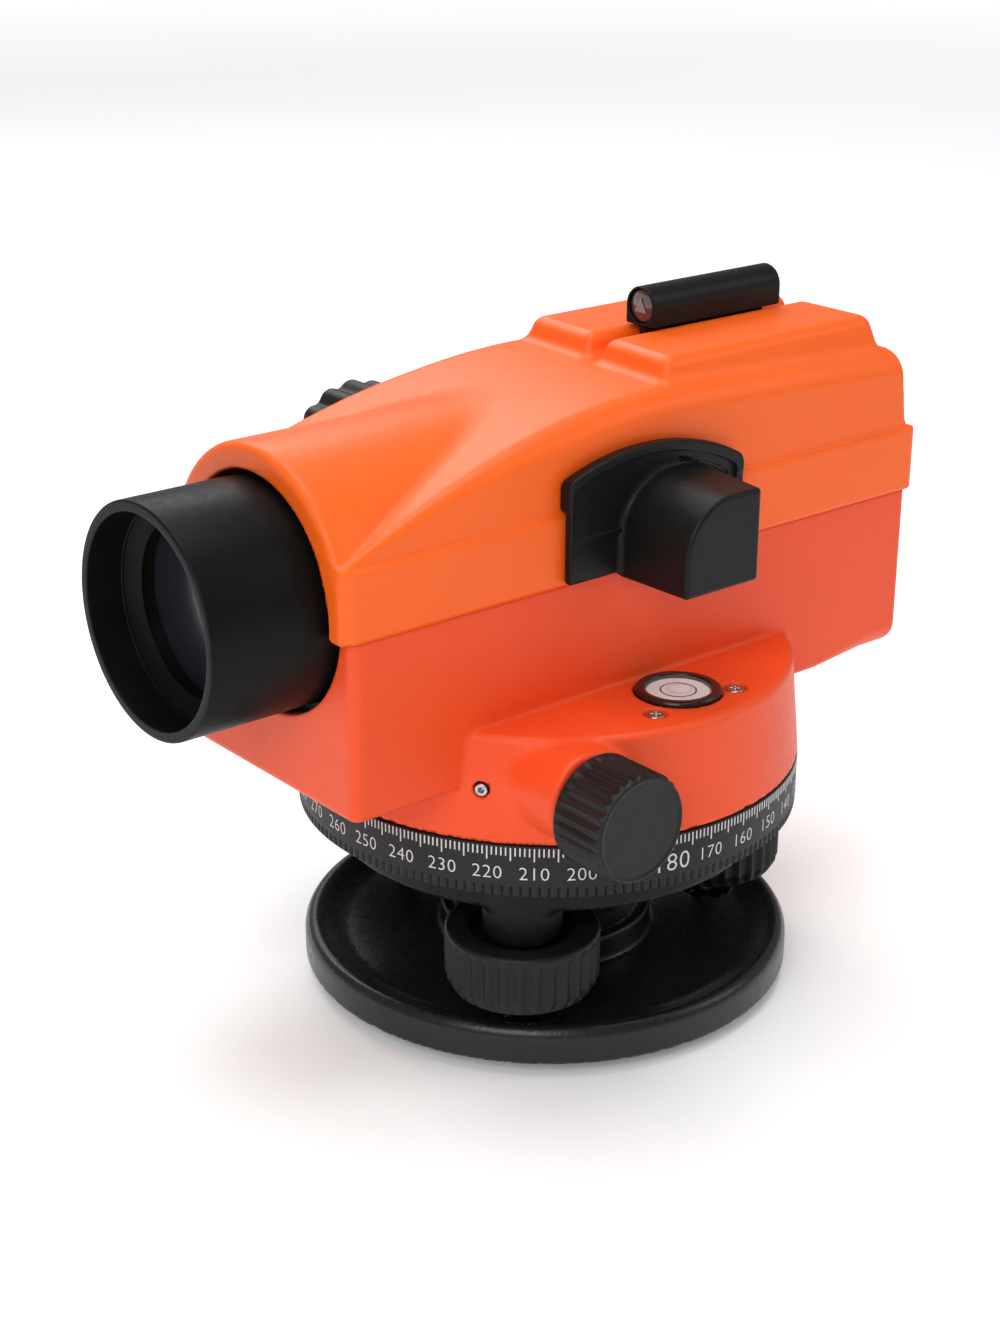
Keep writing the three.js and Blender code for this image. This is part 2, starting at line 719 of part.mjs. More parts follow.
function tubeBracket() {
  const seat = [[-20, HOUSING_Z[0] + 3 + GAP], [20, HOUSING_Z[0] + 3 + GAP], [22, 106], [-22, 106]];
  const body = prism(seat, -72, -66, { axis: 'x' });
  return body.subtract(cylinder(HOOD_R + GAP, -80, -60, { ...OPTIC, segments: 24 }));
}

function focusTube() {
  const body = tube(15.5, 13.6, -62, 5, { ...OPTIC, segments: 24 });
  const slot = box([-39, 3], [9, 17], [AXIS_Z - 4, AXIS_Z + 9]);
  return body.subtract(slot);
}

function rack() {
  const pitch = (2 * Math.PI * PINION_PITCH_R) / PINION_TEETH;
  const top = FOCUS_Z - PINION_PITCH_R + 0.35;
  const outline = [[FOCUS_X - 12, top - 3.4], [FOCUS_X + 12, top - 3.4], [FOCUS_X + 12, top - 0.95]];
  for (let i = 6; i >= -7; i -= 1) {
    const centre = FOCUS_X + (i + 0.5) * pitch;
    outline.push([centre + 0.52, top - 0.95], [centre + 0.16, top]);
    outline.push([centre - 0.16, top], [centre - 0.52, top - 0.95]);
  }
  outline.push([FOCUS_X - 12, top - 0.95]);
  return prism(outline.map(([x, z]) => [z, x]), 13.5, 17, { axis: 'y' });
}

function focusKnob() {
  const [near, far] = FOCUS_KNOB_Y;
  return revolve([
    [2.8, near],
    [FOCUS_KNOB_R - 1.4, near],
    [FOCUS_KNOB_R, near + 2],
    [FOCUS_KNOB_R, far - 2],
    [FOCUS_KNOB_R - 1.4, far],
    [0, far],
    [0, far - 4],
    [2.8, far - 4],
  ], { axis: 'y', at: [FOCUS_X, 0, FOCUS_Z], segments: 28 });
}

function addFocus() {
  const shaftLine = { axis: 'y', at: [FOCUS_X, 0, FOCUS_Z], segments: 16 };
  add('focus_tube', focusTube(), blackPaint);
  add('focus_carriage', tube(13.3, 10.8, -34, -12, { ...OPTIC, segments: 24 }), aluminium);
  add('focusing_lens', lens(10.5, -26, -0.8, -0.8, 3), lensGlass);
  add('focus_rack', rack(), brass);
  const teeth = toothed(PINION_PITCH_R + 0.4, PINION_PITCH_R - 0.6, PINION_TEETH, Math.PI);
  const pinion = prism(teeth, 13.6, 17.4, { axis: 'y' }).translate([FOCUS_X, 0, FOCUS_Z]);
  add('focus_pinion', pinion.add(cylinder(2.4, 17, 47, shaftLine)), steel);
  add('focus_knob', focusKnob(), knobPlastic);
}

function addObjective() {
  add('objective_hood', objectiveHood(), blackPaint);
  add('objective_cell', revolve([
    [19.6, -94],
    [HOOD_BORE_R - GAP, -94],
    [HOOD_BORE_R - GAP, -78],
    [18.2, -78],
    [18.2, -80.4],
    [19.6, -80.4],
  ], { ...OPTIC, segments: 24 }), blackPaint);
  const retainer = tube(HOOD_BORE_R - GAP, 18.6, -96.4, -94.3, { ...OPTIC, segments: 24 });
  add('objective_retainer', retainer, blackPaint);
  add('objective_crown_lens', lens(19.3, -91, 1.8, 1.8, 3), lensGlass);
  add('objective_flint_lens', lens(19.3, -85.9, -1.8, 0.3, 3.6), lensGlass);
  add('objective_bracket', tubeBracket(), aluminium);
}

// ---------------------------------------------------------------- compensator

function compensatorFrame() {
  const base = box([12, 52], [-18, 18], [FLOOR_Z + GAP, 81]);
  const posts = [-1, 1].map((side) => {
    const y = [side * 15, side * 18].sort((a, b) => a - b);
    return box([24, 40], y, [80, 131]);
  });
  const bridge = box([24, 40], [-18, 18], [128, 131]);
  const shelves = [[6, 25], [39, 58]].map((x) => box(x, [-16, 16], [119.3, 121.3]));
  return base.add(posts[0]).add(posts[1]).add(bridge).add(shelves[0]).add(shelves[1]);
}

function pendulum() {
  const hanger = box([28, 36], [-9, 9], [117, 119.4]);
  const sides = [-1, 1].map((side) => {
    const y = [side * 9, side * 7].sort((a, b) => a - b);
    return box([27, 37], y, [90, 119.4]);
  });
  const bob = box([25, 39], [-9, 9], [86, 91]);
  return hanger.add(sides[0]).add(sides[1]).add(bob);
}

function wedgePrism(outline, half) {
  return prism(outline.map(([x, z]) => [z, x]), -half, half, { axis: 'y' });
}

function addCompensator() {
  add('compensator_frame', compensatorFrame(), aluminium);
  add('pendulum', pendulum(), brass);
  add('suspension_band', box([31.8, 32.2], [-6, 6], [119.7, 127.7]), steel);
  add('pendulum_prism', wedgePrism([[25, 92], [39, 92], [32, 101]], 6.6), lensGlass);
  add('front_prism', wedgePrism([[8, 100], [20, 119], [8, 119]], 7), lensGlass);
  add('roof_prism', wedgePrism([[44, 119], [56, 119], [56, 100]], 7), lensGlass);
  add('damper_magnet', box([27, 37], [-7, 7], [81.3, 84.6]), steel);
}

// ---------------------------------------------------------------- eyepiece

function dioptreRing() {
  const [low, high] = [91.4, 97.8];
  const ribs = prism(ribbed(16.6, 0.7, 20, 2), low, high, { axis: 'x', at: OPTIC.at });
  return ribs.subtract(cylinder(12.4, low - 1, high + 1, { ...OPTIC, segments: 24 }));
}

function addEyepiece() {
  add('reticle_cell', tube(12.2, 8, 63, 67, { ...OPTIC, segments: 24 }), brass);
  add('reticle_glass', cylinder(7.7, 64, 66, { ...OPTIC, segments: 24 }), lensGlass);
  const mount = revolve([
    [12.5, 61],
    [13.1, 61],
    [13.1, BAND_X[1] + GAP],
    [18.6, BAND_X[1] + GAP],
    [18.6, 90.6],
    [17.8, 91.1],
    [12.5, 91.1],
  ], { ...OPTIC, segments: 24 });
  add('eyepiece_mount', mount, blackPaint);
  add('dioptre_ring', dioptreRing(), knobPlastic);
  add('eyepiece_cell', tube(12.1, 9.2, 72, 101.6, { ...OPTIC, segments: 24 }), blackPaint);
  add('field_lens', lens(8.9, 76, 0.2, 1.4, 2, 16), lensGlass);
  add('eye_lens', lens(8.9, 96, 1.4, 0.3, 2, 16), lensGlass);
  const cup = revolve([
    [12.4, 99.3], [14.6, 99.3], [15.2, 100.4], [14.8, EYEPIECE_END_X - 1], [13.8, EYEPIECE_END_X],
    [8.6, EYEPIECE_END_X - 2.2], [8.6, 101.9], [12.4, 101.9],
  ], { ...OPTIC, segments: 24 });
  add('eyecup', cup, rubber);
}

addBase();
addDrive();
addHousing();
addSighting();
addObjective();
addFocus();
addCompensator();
addEyepiece();

export default level;
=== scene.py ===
import json
import math

import bmesh
import bpy
import numpy as np
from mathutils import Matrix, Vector


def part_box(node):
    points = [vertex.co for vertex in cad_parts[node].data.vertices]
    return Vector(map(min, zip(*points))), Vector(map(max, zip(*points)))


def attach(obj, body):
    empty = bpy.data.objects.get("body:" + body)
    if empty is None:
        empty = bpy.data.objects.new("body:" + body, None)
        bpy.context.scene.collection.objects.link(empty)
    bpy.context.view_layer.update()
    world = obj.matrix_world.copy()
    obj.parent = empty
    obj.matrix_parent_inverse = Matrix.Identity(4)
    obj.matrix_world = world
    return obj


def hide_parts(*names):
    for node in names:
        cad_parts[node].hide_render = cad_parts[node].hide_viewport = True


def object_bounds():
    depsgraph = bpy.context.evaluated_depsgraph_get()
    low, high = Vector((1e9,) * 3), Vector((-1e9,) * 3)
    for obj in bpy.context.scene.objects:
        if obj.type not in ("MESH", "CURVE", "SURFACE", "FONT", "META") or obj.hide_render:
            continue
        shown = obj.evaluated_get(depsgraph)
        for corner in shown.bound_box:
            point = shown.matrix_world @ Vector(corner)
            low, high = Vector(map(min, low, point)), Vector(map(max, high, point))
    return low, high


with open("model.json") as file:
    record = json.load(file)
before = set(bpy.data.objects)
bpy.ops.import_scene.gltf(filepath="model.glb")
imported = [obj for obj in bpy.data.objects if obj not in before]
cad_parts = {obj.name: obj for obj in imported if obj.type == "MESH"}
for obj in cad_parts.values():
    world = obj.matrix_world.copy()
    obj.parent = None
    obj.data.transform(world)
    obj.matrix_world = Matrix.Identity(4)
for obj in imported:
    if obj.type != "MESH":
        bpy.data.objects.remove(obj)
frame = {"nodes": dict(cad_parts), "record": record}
cad_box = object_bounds()
MM = 0.001


# ------------------------------------------------------------------ dimensions from the frame

def span(node):
    """The low and high corners of a CAD node's box, in millimetres."""
    low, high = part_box(node)
    return np.array(low) / MM, np.array(high) / MM


def middle(node):
    low, high = span(node)
    return (low + high) / 2


AXIS_Z = float(middle("objective_hood")[2])
HOOD = span("objective_hood")
COVER = span("upper_cover")
HOUSING = span("lower_housing")
CIRCLE = span("horizontal_circle")
HEAD = span("levelling_head")
BASE = span("base_plate")
KNOB = span("near_tangent_knob")
WORM = middle("near_tangent_knob")
FOCUS = span("focus_knob")
FOCUS_MID = middle("focus_knob")
BUBBLE = span("bubble_cup")
BUBBLE_MID = middle("bubble_cup")
MIRROR = span("mirror_housing")
SIGHT = span("sight_tube")
BAND_X = (float(COVER[0][0]), float(COVER[1][0]))
BAND_HALF = float(COVER[1][1])
SPLIT_Z = float(COVER[0][2])
DRUM_TOP = float(BUBBLE[1][2]) - 1
FOCUS_SHAFT_R = 2.9
WORM_BORE_R = 2.4
WALL = 2.6
# The collar, bores and screw posts that the cover and the housing share.
COLLAR_R, COLLAR_FRONT = 19.8, 70
HOOD_BORE_R, HOOD_BORE_REAR = 25.85, -60
EYE_BORE_R, EYE_BORE_FRONT = 13.4, 60
POSTS = [(x, y) for x in (-58, 76) for y in (-22, 22)]
POST_R = 4
FEET = {side: middle(f"{side}_foot_knob") for side in ("front", "rear", "side")}


# ------------------------------------------------------------------ mesh helpers

ON_AXIS = 1e-6
STRAIGHT = 1.55
LONGEST_CUT = 0.45


def rounded(points, default=0.3, steps=4):
    """A closed outline of (u, v) or (u, v, radius) corners, with each corner rounded."""
    out = []
    count = len(points)
    for i, point in enumerate(points):
        radius = point[2] if len(point) > 2 else default
        before, here, after = (np.array(points[k % count][:2], float) for k in (i - 1, i, i + 1))
        u, v = before - here, after - here
        length_u, length_v = np.linalg.norm(u), np.linalg.norm(v)
        u, v = u / length_u, v / length_v
        half = math.acos(float(np.clip(u @ v, -1, 1))) / 2
        if radius <= 0 or here[0] < ON_AXIS or half > STRAIGHT:
            out.append(here)
            continue
        cut = min(radius / math.tan(half), LONGEST_CUT * length_u, LONGEST_CUT * length_v)
        r = cut * math.tan(half)
        centre = here + (u + v) / np.linalg.norm(u + v) * r / math.sin(half)
        start, end = here + u * cut - centre, here + v * cut - centre
        a = math.atan2(start[1], start[0])
        turn = (math.atan2(end[1], end[0]) - a + math.pi) % (2 * math.pi) - math.pi
        for k in range(steps + 1):
            angle = a + turn * k / steps
            out.append(centre + r * np.array([math.cos(angle), math.sin(angle)]))
    return out


def turned(profile, axis="z", at=(0, 0, 0), segments=96, shape=None):
    """A closed profile of (radius, height) turned about an axis; shape(r, h, angle) may change r."""
    profile = np.array([p[:2] for p in profile], float)
    angle = np.arange(segments) / segments * 2 * math.pi
    r, turn = np.meshgrid(profile[:, 0], angle, indexing="ij")
    h = np.repeat(profile[:, 1:2], segments, axis=1)
    if shape is not None:
        r = shape(r, h, turn)
    c, s = r * np.cos(turn), r * np.sin(turn)
    order = {"z": (c, s, h), "x": (h, c, s), "y": (s, h, c)}[axis]
    verts = np.stack(order, -1).reshape(-1, 3) + np.array(at, float)
    faces = []
    rows = len(profile)
    for j in range(rows):
        k = (j + 1) % rows
        if profile[j, 0] < ON_AXIS and profile[k, 0] < ON_AXIS:
            continue
        a, b = j * segments, k * segments
        for i in range(segments):
            n = (i + 1) % segments
            faces.append((a + i, a + n, b + n, b + i))
    return verts, faces


def joined(*shapes):
    """Several (vertices, faces) shapes as one."""
    verts, faces, start = [], [], 0
    for shape in shapes:
        verts.append(np.asarray(shape[0], float))
        faces += [tuple(i + start for i in f) for f in shape[1]]
        start += len(shape[0])
    return np.concatenate(verts), faces


def gradient(field, points, step=0.02):
    """The slope of a field at points, by central differences."""
    out = np.empty_like(points)
    for k in range(3):
        shift = np.zeros(3)
        shift[k] = step
        up = field(*(points + shift).T)
        down = field(*(points - shift).T)
        out[:, k] = (up - down) / (2 * step)
    return out


def onto(field, points, reach, rounds=4):
    """Points moved along the slope onto field = 0, at most `reach` in each round."""
    for _ in range(rounds):
        value = field(*points.T)
        slope = gradient(field, points)
        size = np.maximum((slope ** 2).sum(1), 0.05)
        move = -(value / size)[:, None] * slope
        length = np.linalg.norm(move, axis=1, keepdims=True)
        points = points + move * np.minimum(1, reach / np.maximum(length, 1e-9))
    return points


def cast(field, low, high, cell):
    """The surface field = 0, negative inside, as an even mesh of quads with its true normals."""
    low, high = np.array(low, float) - 1.5 * cell, np.array(high, float) + 1.5 * cell
    counts = np.ceil((high - low) / cell).astype(int) + 1
    axes = [low[k] + cell * np.arange(counts[k]) for k in range(3)]
    value = field(*np.meshgrid(*axes, indexing="ij"))
    inside = value < 0
    n = counts - 1
    total = np.zeros(n, np.uint8)
    for i in (0, 1):
        for j in (0, 1):
            for k in (0, 1):
                total += inside[i:n[0] + i, j:n[1] + j, k:n[2] + k]
    crossed = (total > 0) & (total < 8)
    ids = np.full(n, -1)
    ids[crossed] = np.arange(crossed.sum())
    points = low + (np.argwhere(crossed) + 0.5) * cell
    quads = []
    for d in range(3):
        u, v = (d + 1) % 3, (d + 2) % 3
        first, last = [slice(None)] * 3, [slice(None)] * 3
        first[d], last[d] = slice(0, -1), slice(1, None)
        start = inside[tuple(first)]
        at = np.argwhere(start != inside[tuple(last)])
        at = at[(at[:, u] > 0) & (at[:, v] > 0) & (at[:, u] < n[u]) & (at[:, v] < n[v])]
        leaving = start[tuple(at.T)]
        eu, ev = np.eye(3, dtype=int)[u], np.eye(3, dtype=int)[v]
        ring = [ids[tuple((at - s).T)] for s in (eu + ev, ev, 0 * eu, eu)]
        quad = np.stack(ring, 1)
        quad[~leaving] = quad[~leaving][:, ::-1]
        quads.append(quad)
    quads = np.concatenate(quads)
    points = onto(field, points, 0.5 * cell)
    for _ in range(3):
        total, share = np.zeros_like(points), np.zeros(len(points))
        for a in range(4):
            b = (a + 1) % 4
            np.add.at(total, quads[:, a], points[quads[:, b]])
            np.add.at(share, quads[:, a], 1)
        points = 0.5 * points + 0.5 * total / np.maximum(share, 1)[:, None]
        points = onto(field, points, 0.4 * cell, 3)
    normals = gradient(field, points)
    normals /= np.maximum(np.linalg.norm(normals, axis=1, keepdims=True), 1e-9)
    return points, quads.tolist(), normals


def piece(name, shape, material, body, nodes=(), angle=32):
    """A mesh object from (vertices, faces) or (vertices, faces, normals) that rides on a body."""
    mesh = bpy.data.meshes.new(name)
    mesh.from_pydata((np.asarray(shape[0]) * MM).tolist(), [], shape[1])
    if len(shape) < 3:
        bm = bmesh.new()
        bm.from_mesh(mesh)
        bmesh.ops.remove_doubles(bm, verts=bm.verts, dist=1e-7)
        bmesh.ops.dissolve_degenerate(bm, edges=bm.edges, dist=1e-8)
        bmesh.ops.recalc_face_normals(bm, faces=bm.faces)
        bm.to_mesh(mesh)
        bm.free()
    mesh.shade_smooth()
    if len(shape) < 3:
        mesh.set_sharp_from_angle(angle=math.radians(angle))
    else:
        mesh.normals_split_custom_set_from_vertices(shape[2].tolist())
    mesh.materials.append(material)
    obj = bpy.data.objects.new(name, mesh)
    bpy.context.scene.collection.objects.link(obj)
    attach(obj, body)
    if nodes:
        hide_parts(*nodes)
    return obj


# ------------------------------------------------------------------ fields for cast shapes

def both(radius, *fields):
    """The overlap of fields, with its edges rounded to a radius."""
    raised = [f + radius for f in fields]
    outer = np.sqrt(sum(np.maximum(f, 0) ** 2 for f in raised))
    return outer + np.minimum(np.maximum.reduce(raised), 0) - radius


def blend(a, b, width):
    """The union of two fields, with a fillet of about that width."""
    h = np.clip(0.5 + 0.5 * (b - a) / width, 0, 1)
    return b * (1 - h) + a * h - width * h * (1 - h)


def cut(a, b, width=0.4):
    """Field a without field b, with a slightly eased edge."""
    return -blend(-a, b, width)


# ------------------------------------------------------------------ finishes

def noise(tree, source, scale, detail=3.0, roughness=0.55):
    node = tree.nodes.new("ShaderNodeTexNoise")
    node.inputs["Scale"].default_value = scale
    node.inputs["Detail"].default_value = detail
    node.inputs["Roughness"].default_value = roughness
    tree.links.new(source, node.inputs["Vector"])
    return node.outputs["Fac"]


def ranged(tree, source, low, high, new_low, new_high):
    node = tree.nodes.new("ShaderNodeMapRange")
    limits = {"From Min": low, "From Max": high, "To Min": new_low, "To Max": new_high}
    for name, value in limits.items():
        node.inputs[name].default_value = value
    tree.links.new(source, node.inputs["Value"])
    return node.outputs["Result"]


def mixed(tree, factor, first, second):
    node = tree.nodes.new("ShaderNodeMix")
    node.data_type = "RGBA"
    tree.links.new(factor, node.inputs[0])
    for socket, value in ((node.inputs[6], first), (node.inputs[7], second)):
        if hasattr(value, "links"):
            tree.links.new(value, socket)
        else:
            socket.default_value = (*value, 1)
    return node.outputs[2]


def finish_look(name, color, dark, roughness, metallic=0.0, grain=1500, bump=0.1, patch=60, speck=0.0,
                edge=None, coat=0.0, specular=0.5, brushed=None):
    """A finish with slow colour drift, fine grain, uneven roughness and, if wanted, lighter edges that are
    partly wear and partly painted highlight.
    """
    material = bpy.data.materials.new(name)
    material.use_nodes = True
    tree = material.node_tree
    shader = tree.nodes["Principled BSDF"]
    place = tree.nodes.new("ShaderNodeTexCoord").outputs["Object"]
    drift = ranged(tree, noise(tree, place, patch, 4), 0.3, 0.7, 0, 1)
    tint = mixed(tree, drift, dark, color)
    fine = noise(tree, place, grain, 2)
    if speck:
        spots = ranged(tree, fine, 0.62, 0.78, 0, speck)
        tint = mixed(tree, spots, tint, tuple(min(1.0, c * 1.6 + 0.03) for c in color))
    # Edges lightened by Pointiness: partly wear, partly a painted highlight along the edges.
    if edge:
        geometry = tree.nodes.new("ShaderNodeNewGeometry")
        edge_wear_and_highlight = ranged(tree, geometry.outputs["Pointiness"], 0.53, 0.62, 0, 0.5)
        tint = mixed(tree, edge_wear_and_highlight, tint, edge)
    tree.links.new(tint, shader.inputs["Base Color"])
    rough = ranged(tree, noise(tree, place, grain * 0.35, 3), 0.3, 0.7, roughness - 0.05, roughness + 0.06)
    tree.links.new(rough, shader.inputs["Roughness"])
    shader.inputs["Metallic"].default_value = metallic
    shader.inputs["Specular IOR Level"].default_value = specular
    shader.inputs["Coat Weight"].default_value = coat
    shader.inputs["Coat Roughness"].default_value = 0.25
    height = fine
    if brushed:
        stretch = tree.nodes.new("ShaderNodeMapping")
        stretch.inputs["Scale"].default_value = brushed
        tree.links.new(place, stretch.inputs["Vector"])
        height = noise(tree, stretch.outputs["Vector"], grain, 2)
    relief = tree.nodes.new("ShaderNodeBump")
    relief.inputs["Strength"].default_value = bump
    relief.inputs["Distance"].default_value = 0.0004
    tree.links.new(height, relief.inputs["Height"])
    tree.links.new(relief.outputs["Normal"], shader.inputs["Normal"])
    return material


def glass_look(name, color, depth, roughness=0.03, coat=1.0, alpha=1.0):
    """Coated glass, darker face-on and lighter towards the rim as a painted reflection, with faint dust in
    the roughness.
    """
    material = bpy.data.materials.new(name)
    material.use_nodes = True
    tree = material.node_tree
    shader = tree.nodes["Principled BSDF"]
    place = tree.nodes.new("ShaderNodeTexCoord").outputs["Object"]
    # Painted reflection: the colour lightens from `depth` face-on to `color` at grazing angles.
    rim = tree.nodes.new("ShaderNodeLayerWeight")
    rim.inputs["Blend"].default_value = 0.35
    tint = mixed(tree, rim.outputs["Facing"], depth, color)
    drift = ranged(tree, noise(tree, place, 30, 1), 0.3, 0.7, 0, 0.2)
    tree.links.new(mixed(tree, drift, tint, color), shader.inputs["Base Color"])
    dust = ranged(tree, noise(tree, place, 60, 2), 0.45, 0.8, roughness, roughness + 0.012)
    tree.links.new(dust, shader.inputs["Roughness"])
    shader.inputs["Alpha"].default_value = alpha
    shader.inputs["Coat Weight"].default_value = coat
    shader.inputs["Coat Roughness"].default_value = 0.02
    return material


LOOKS = {
    "orange_casting": finish_look("orange_casting", (0.9, 0.083, 0.014), (0.85, 0.074, 0.012), 0.44,
                                  grain=1700, bump=0.2, patch=25, speck=0.12, specular=0.36),
    "orange_cover": finish_look("orange_cover", (0.97, 0.136, 0.01), (0.94, 0.125, 0.009), 0.4,
                                grain=1900, bump=0.06, patch=22, speck=0.04, specular=0.32),
    # Black enamel's edge colour gives lighter edges, partly wear and partly painted highlight.
    "black_enamel": finish_look("black_enamel", (0.0098, 0.0098, 0.0101), (0.0066, 0.0066, 0.0069), 0.4,
                                grain=1600, bump=0.14, patch=45, speck=0.25, edge=(0.035, 0.035, 0.035),
                                specular=0.17),
    "black_plastic": finish_look("black_plastic", (0.0075, 0.0075, 0.008), (0.0053, 0.0053, 0.0057), 0.4,
                                 grain=2600, bump=0.12, patch=70, speck=0.15, specular=0.18),
    "knob_plastic": finish_look("knob_plastic", (0.0102, 0.0102, 0.0106), (0.0072, 0.0072, 0.0075), 0.46,
                                grain=2600, bump=0.18, patch=90, speck=0.2, specular=0.28),
    "circle_enamel": finish_look("circle_enamel", (0.019, 0.019, 0.0195), (0.014, 0.014, 0.0145), 0.48,
                                 grain=2200, bump=0.08, patch=60, speck=0.12, specular=0.25),
    "rubber": finish_look("rubber", (0.009, 0.009, 0.009), (0.006, 0.006, 0.006), 0.75,
                          grain=2200, bump=0.3, patch=80, specular=0.25),
    "steel": finish_look("steel", (0.55, 0.55, 0.55), (0.36, 0.36, 0.37), 0.3, metallic=1.0,
                         grain=900, bump=0.06, patch=300, brushed=(1, 1, 0.1)),
    "brass": finish_look("brass", (0.66, 0.45, 0.17), (0.5, 0.32, 0.11), 0.32, metallic=1.0,
                         grain=900, bump=0.06, patch=120, brushed=(1, 1, 0.1)),
    "aluminium": finish_look("aluminium", (0.55, 0.56, 0.57), (0.43, 0.44, 0.45), 0.4, metallic=1.0,
                             grain=1200, bump=0.08, patch=120),
    "lens_glass": glass_look("lens_glass", (0.35, 0.42, 0.5), (0.05, 0.07, 0.12)),
    "mirror": finish_look("mirror", (0.8, 0.81, 0.82), (0.74, 0.75, 0.76), 0.08, metallic=1.0,
                          grain=700, bump=0.01, patch=60),
    "vial_white": finish_look("vial_white", (0.97, 1.0, 1.0), (0.88, 0.93, 0.92), 0.34,
                              grain=900, bump=0.03, patch=260, specular=0.1),
}
MARK_WHITE = finish_look("mark_white", (0.72, 0.72, 0.71), (0.6, 0.6, 0.59), 0.5, grain=3000, bump=0.1,
                         patch=500)
COATED_BLUE = glass_look("coated_blue", (0.022, 0.024, 0.034), (0.01, 0.011, 0.017), 0.2, coat=0.1)
COATED_AMBER = glass_look("coated_amber", (0.16, 0.075, 0.07), (0.04, 0.016, 0.016))
TINTED = glass_look("tinted_glass", (0.3, 0.26, 0.26), (0.16, 0.13, 0.13), 0.2, coat=0.2)
CLEAR = glass_look("clear_vial", (0.9, 0.92, 0.91), (0.8, 0.84, 0.84), 0.02, coat=0.15, alpha=0.06)
GLOSS_BLACK = finish_look("gloss_black", (0.008, 0.008, 0.008), (0.005, 0.005, 0.005), 0.16,
                          grain=1500, bump=0.02, patch=80, coat=0.4, specular=0.35)
BASE_BLACK = finish_look("base_enamel", (0.0125, 0.0125, 0.0128), (0.0085, 0.0085, 0.0088), 0.3,
                         grain=1600, bump=0.16, patch=45, speck=0.25, specular=0.42)
# A darker black for the hood, cell and retainer: partly their matte black, partly painted shade inside the
# hood.
DEEP_BLACK_AND_SHADE = finish_look("deep_black_and_shade", (0.005, 0.005, 0.0052), (0.0035, 0.0035, 0.0037), 0.42,
                         grain=1800, bump=0.06, patch=80, specular=0.12)
# A dark anodised finish for the objective bracket, partly its own black and partly painted shade in the gap
# round the hood.
BLACK_ANODISED_AND_SHADE = finish_look("black_anodised_and_shade", (0.02, 0.02, 0.021), (0.013, 0.013, 0.014), 0.5,
                             metallic=0.4, grain=1200, bump=0.08, patch=120)
SLOT_OF = {s["node"]: s["material_slot"] for s in frame["record"]["subparts"]}
BODY_OF = {n: b for b, nodes in frame["record"]["behaviour"]["bodies"].items() for n in nodes}
for node, obj in frame["nodes"].items():
    obj.data.materials.clear()
    # The objective bracket takes the dark finish, partly painted shade in the gap round the hood.
    obj.data.materials.append(BLACK_ANODISED_AND_SHADE if node == "objective_bracket" else LOOKS[SLOT_OF[node]])


def stand_for(node, shape, material=None):
    """A visible piece that takes the place of one CAD node."""
    slot = SLOT_OF[node]
    return piece(node + "_look", shape, material or LOOKS[slot], BODY_OF[node], (node,))


# ------------------------------------------------------------------ upper cover

# The shoulder rises in a curve from the nose to the crest, then falls slightly towards the rear.
NOSE_Z, CREST_RISE = 122, 21.8
CREST_X, CREST_Z = 11, NOSE_Z + CREST_RISE
CREST_FALL = 0.043
SIDE_INSET = 1.1
BARREL_R, BARREL_REAR = 31.5, 30
NOSE_SHOULDER_R, SHOULDER_GAIN, SHOULDER_RUN = 0.8, 5.2, 62
REAR_X, REAR_Z, REAR_LEAN, REAR_NORMAL = 84.4, 124.8, 0.132, 1.0087


def ridge(x):
    """Height of the shoulder and its slope along x."""
    length = CREST_X - BAND_X[0]
    run = (x - BAND_X[0]) / length
    rising = x < CREST_X
    rise = NOSE_Z + CREST_RISE * (1 - (1 - run) ** 2)
    height = np.where(rising, rise, CREST_Z - CREST_FALL * (x - CREST_X))
    slope = np.where(rising, 2 * CREST_RISE * (1 - run) / length, -CREST_FALL)
    return height, slope


def from_axis(y, z):
    return np.hypot(y, z - AXIS_Z)


def cover_shell(x, y, z):
    """The outside of the cover without its band, collar and pads."""
    half = BAND_HALF - SIDE_INSET
    side = np.abs(y)
    height, slope = ridge(x)
    top = (z - height) / np.sqrt(1 + slope ** 2)
    back = (x - REAR_X + REAR_LEAN * (z - REAR_Z)) / REAR_NORMAL
    front = BAND_X[0] - x
    shoulder = NOSE_SHOULDER_R + SHOULDER_GAIN * np.clip((x - BAND_X[0]) / SHOULDER_RUN, 0, 1)
    hump = both(1.3, both(shoulder, side - half, top), back, front)
    barrel = both(0.6, both(2.0, from_axis(y, z) - BARREL_R, front, x - BARREL_REAR), side - half)
    return blend(hump, barrel, 1.4)


# The band's ledges slope outwards: each has its slope and the length of its normal.
BAND_TOP = 121.8
SIDE_LEDGE, SIDE_LEDGE_NORMAL = 0.5, 1.118
REAR_LEDGE, REAR_LEDGE_NORMAL = 0.3, 1.044
PAD_TOP, PAD_FOOT = 149, 138
PAD_HALF, GROOVE_HALF = 24.2, 2.6
PAD_FRONT, PAD_REAR = 11.8, 76.2
PAD_SKEW, PAD_SKEW_Y = 0.07, 24


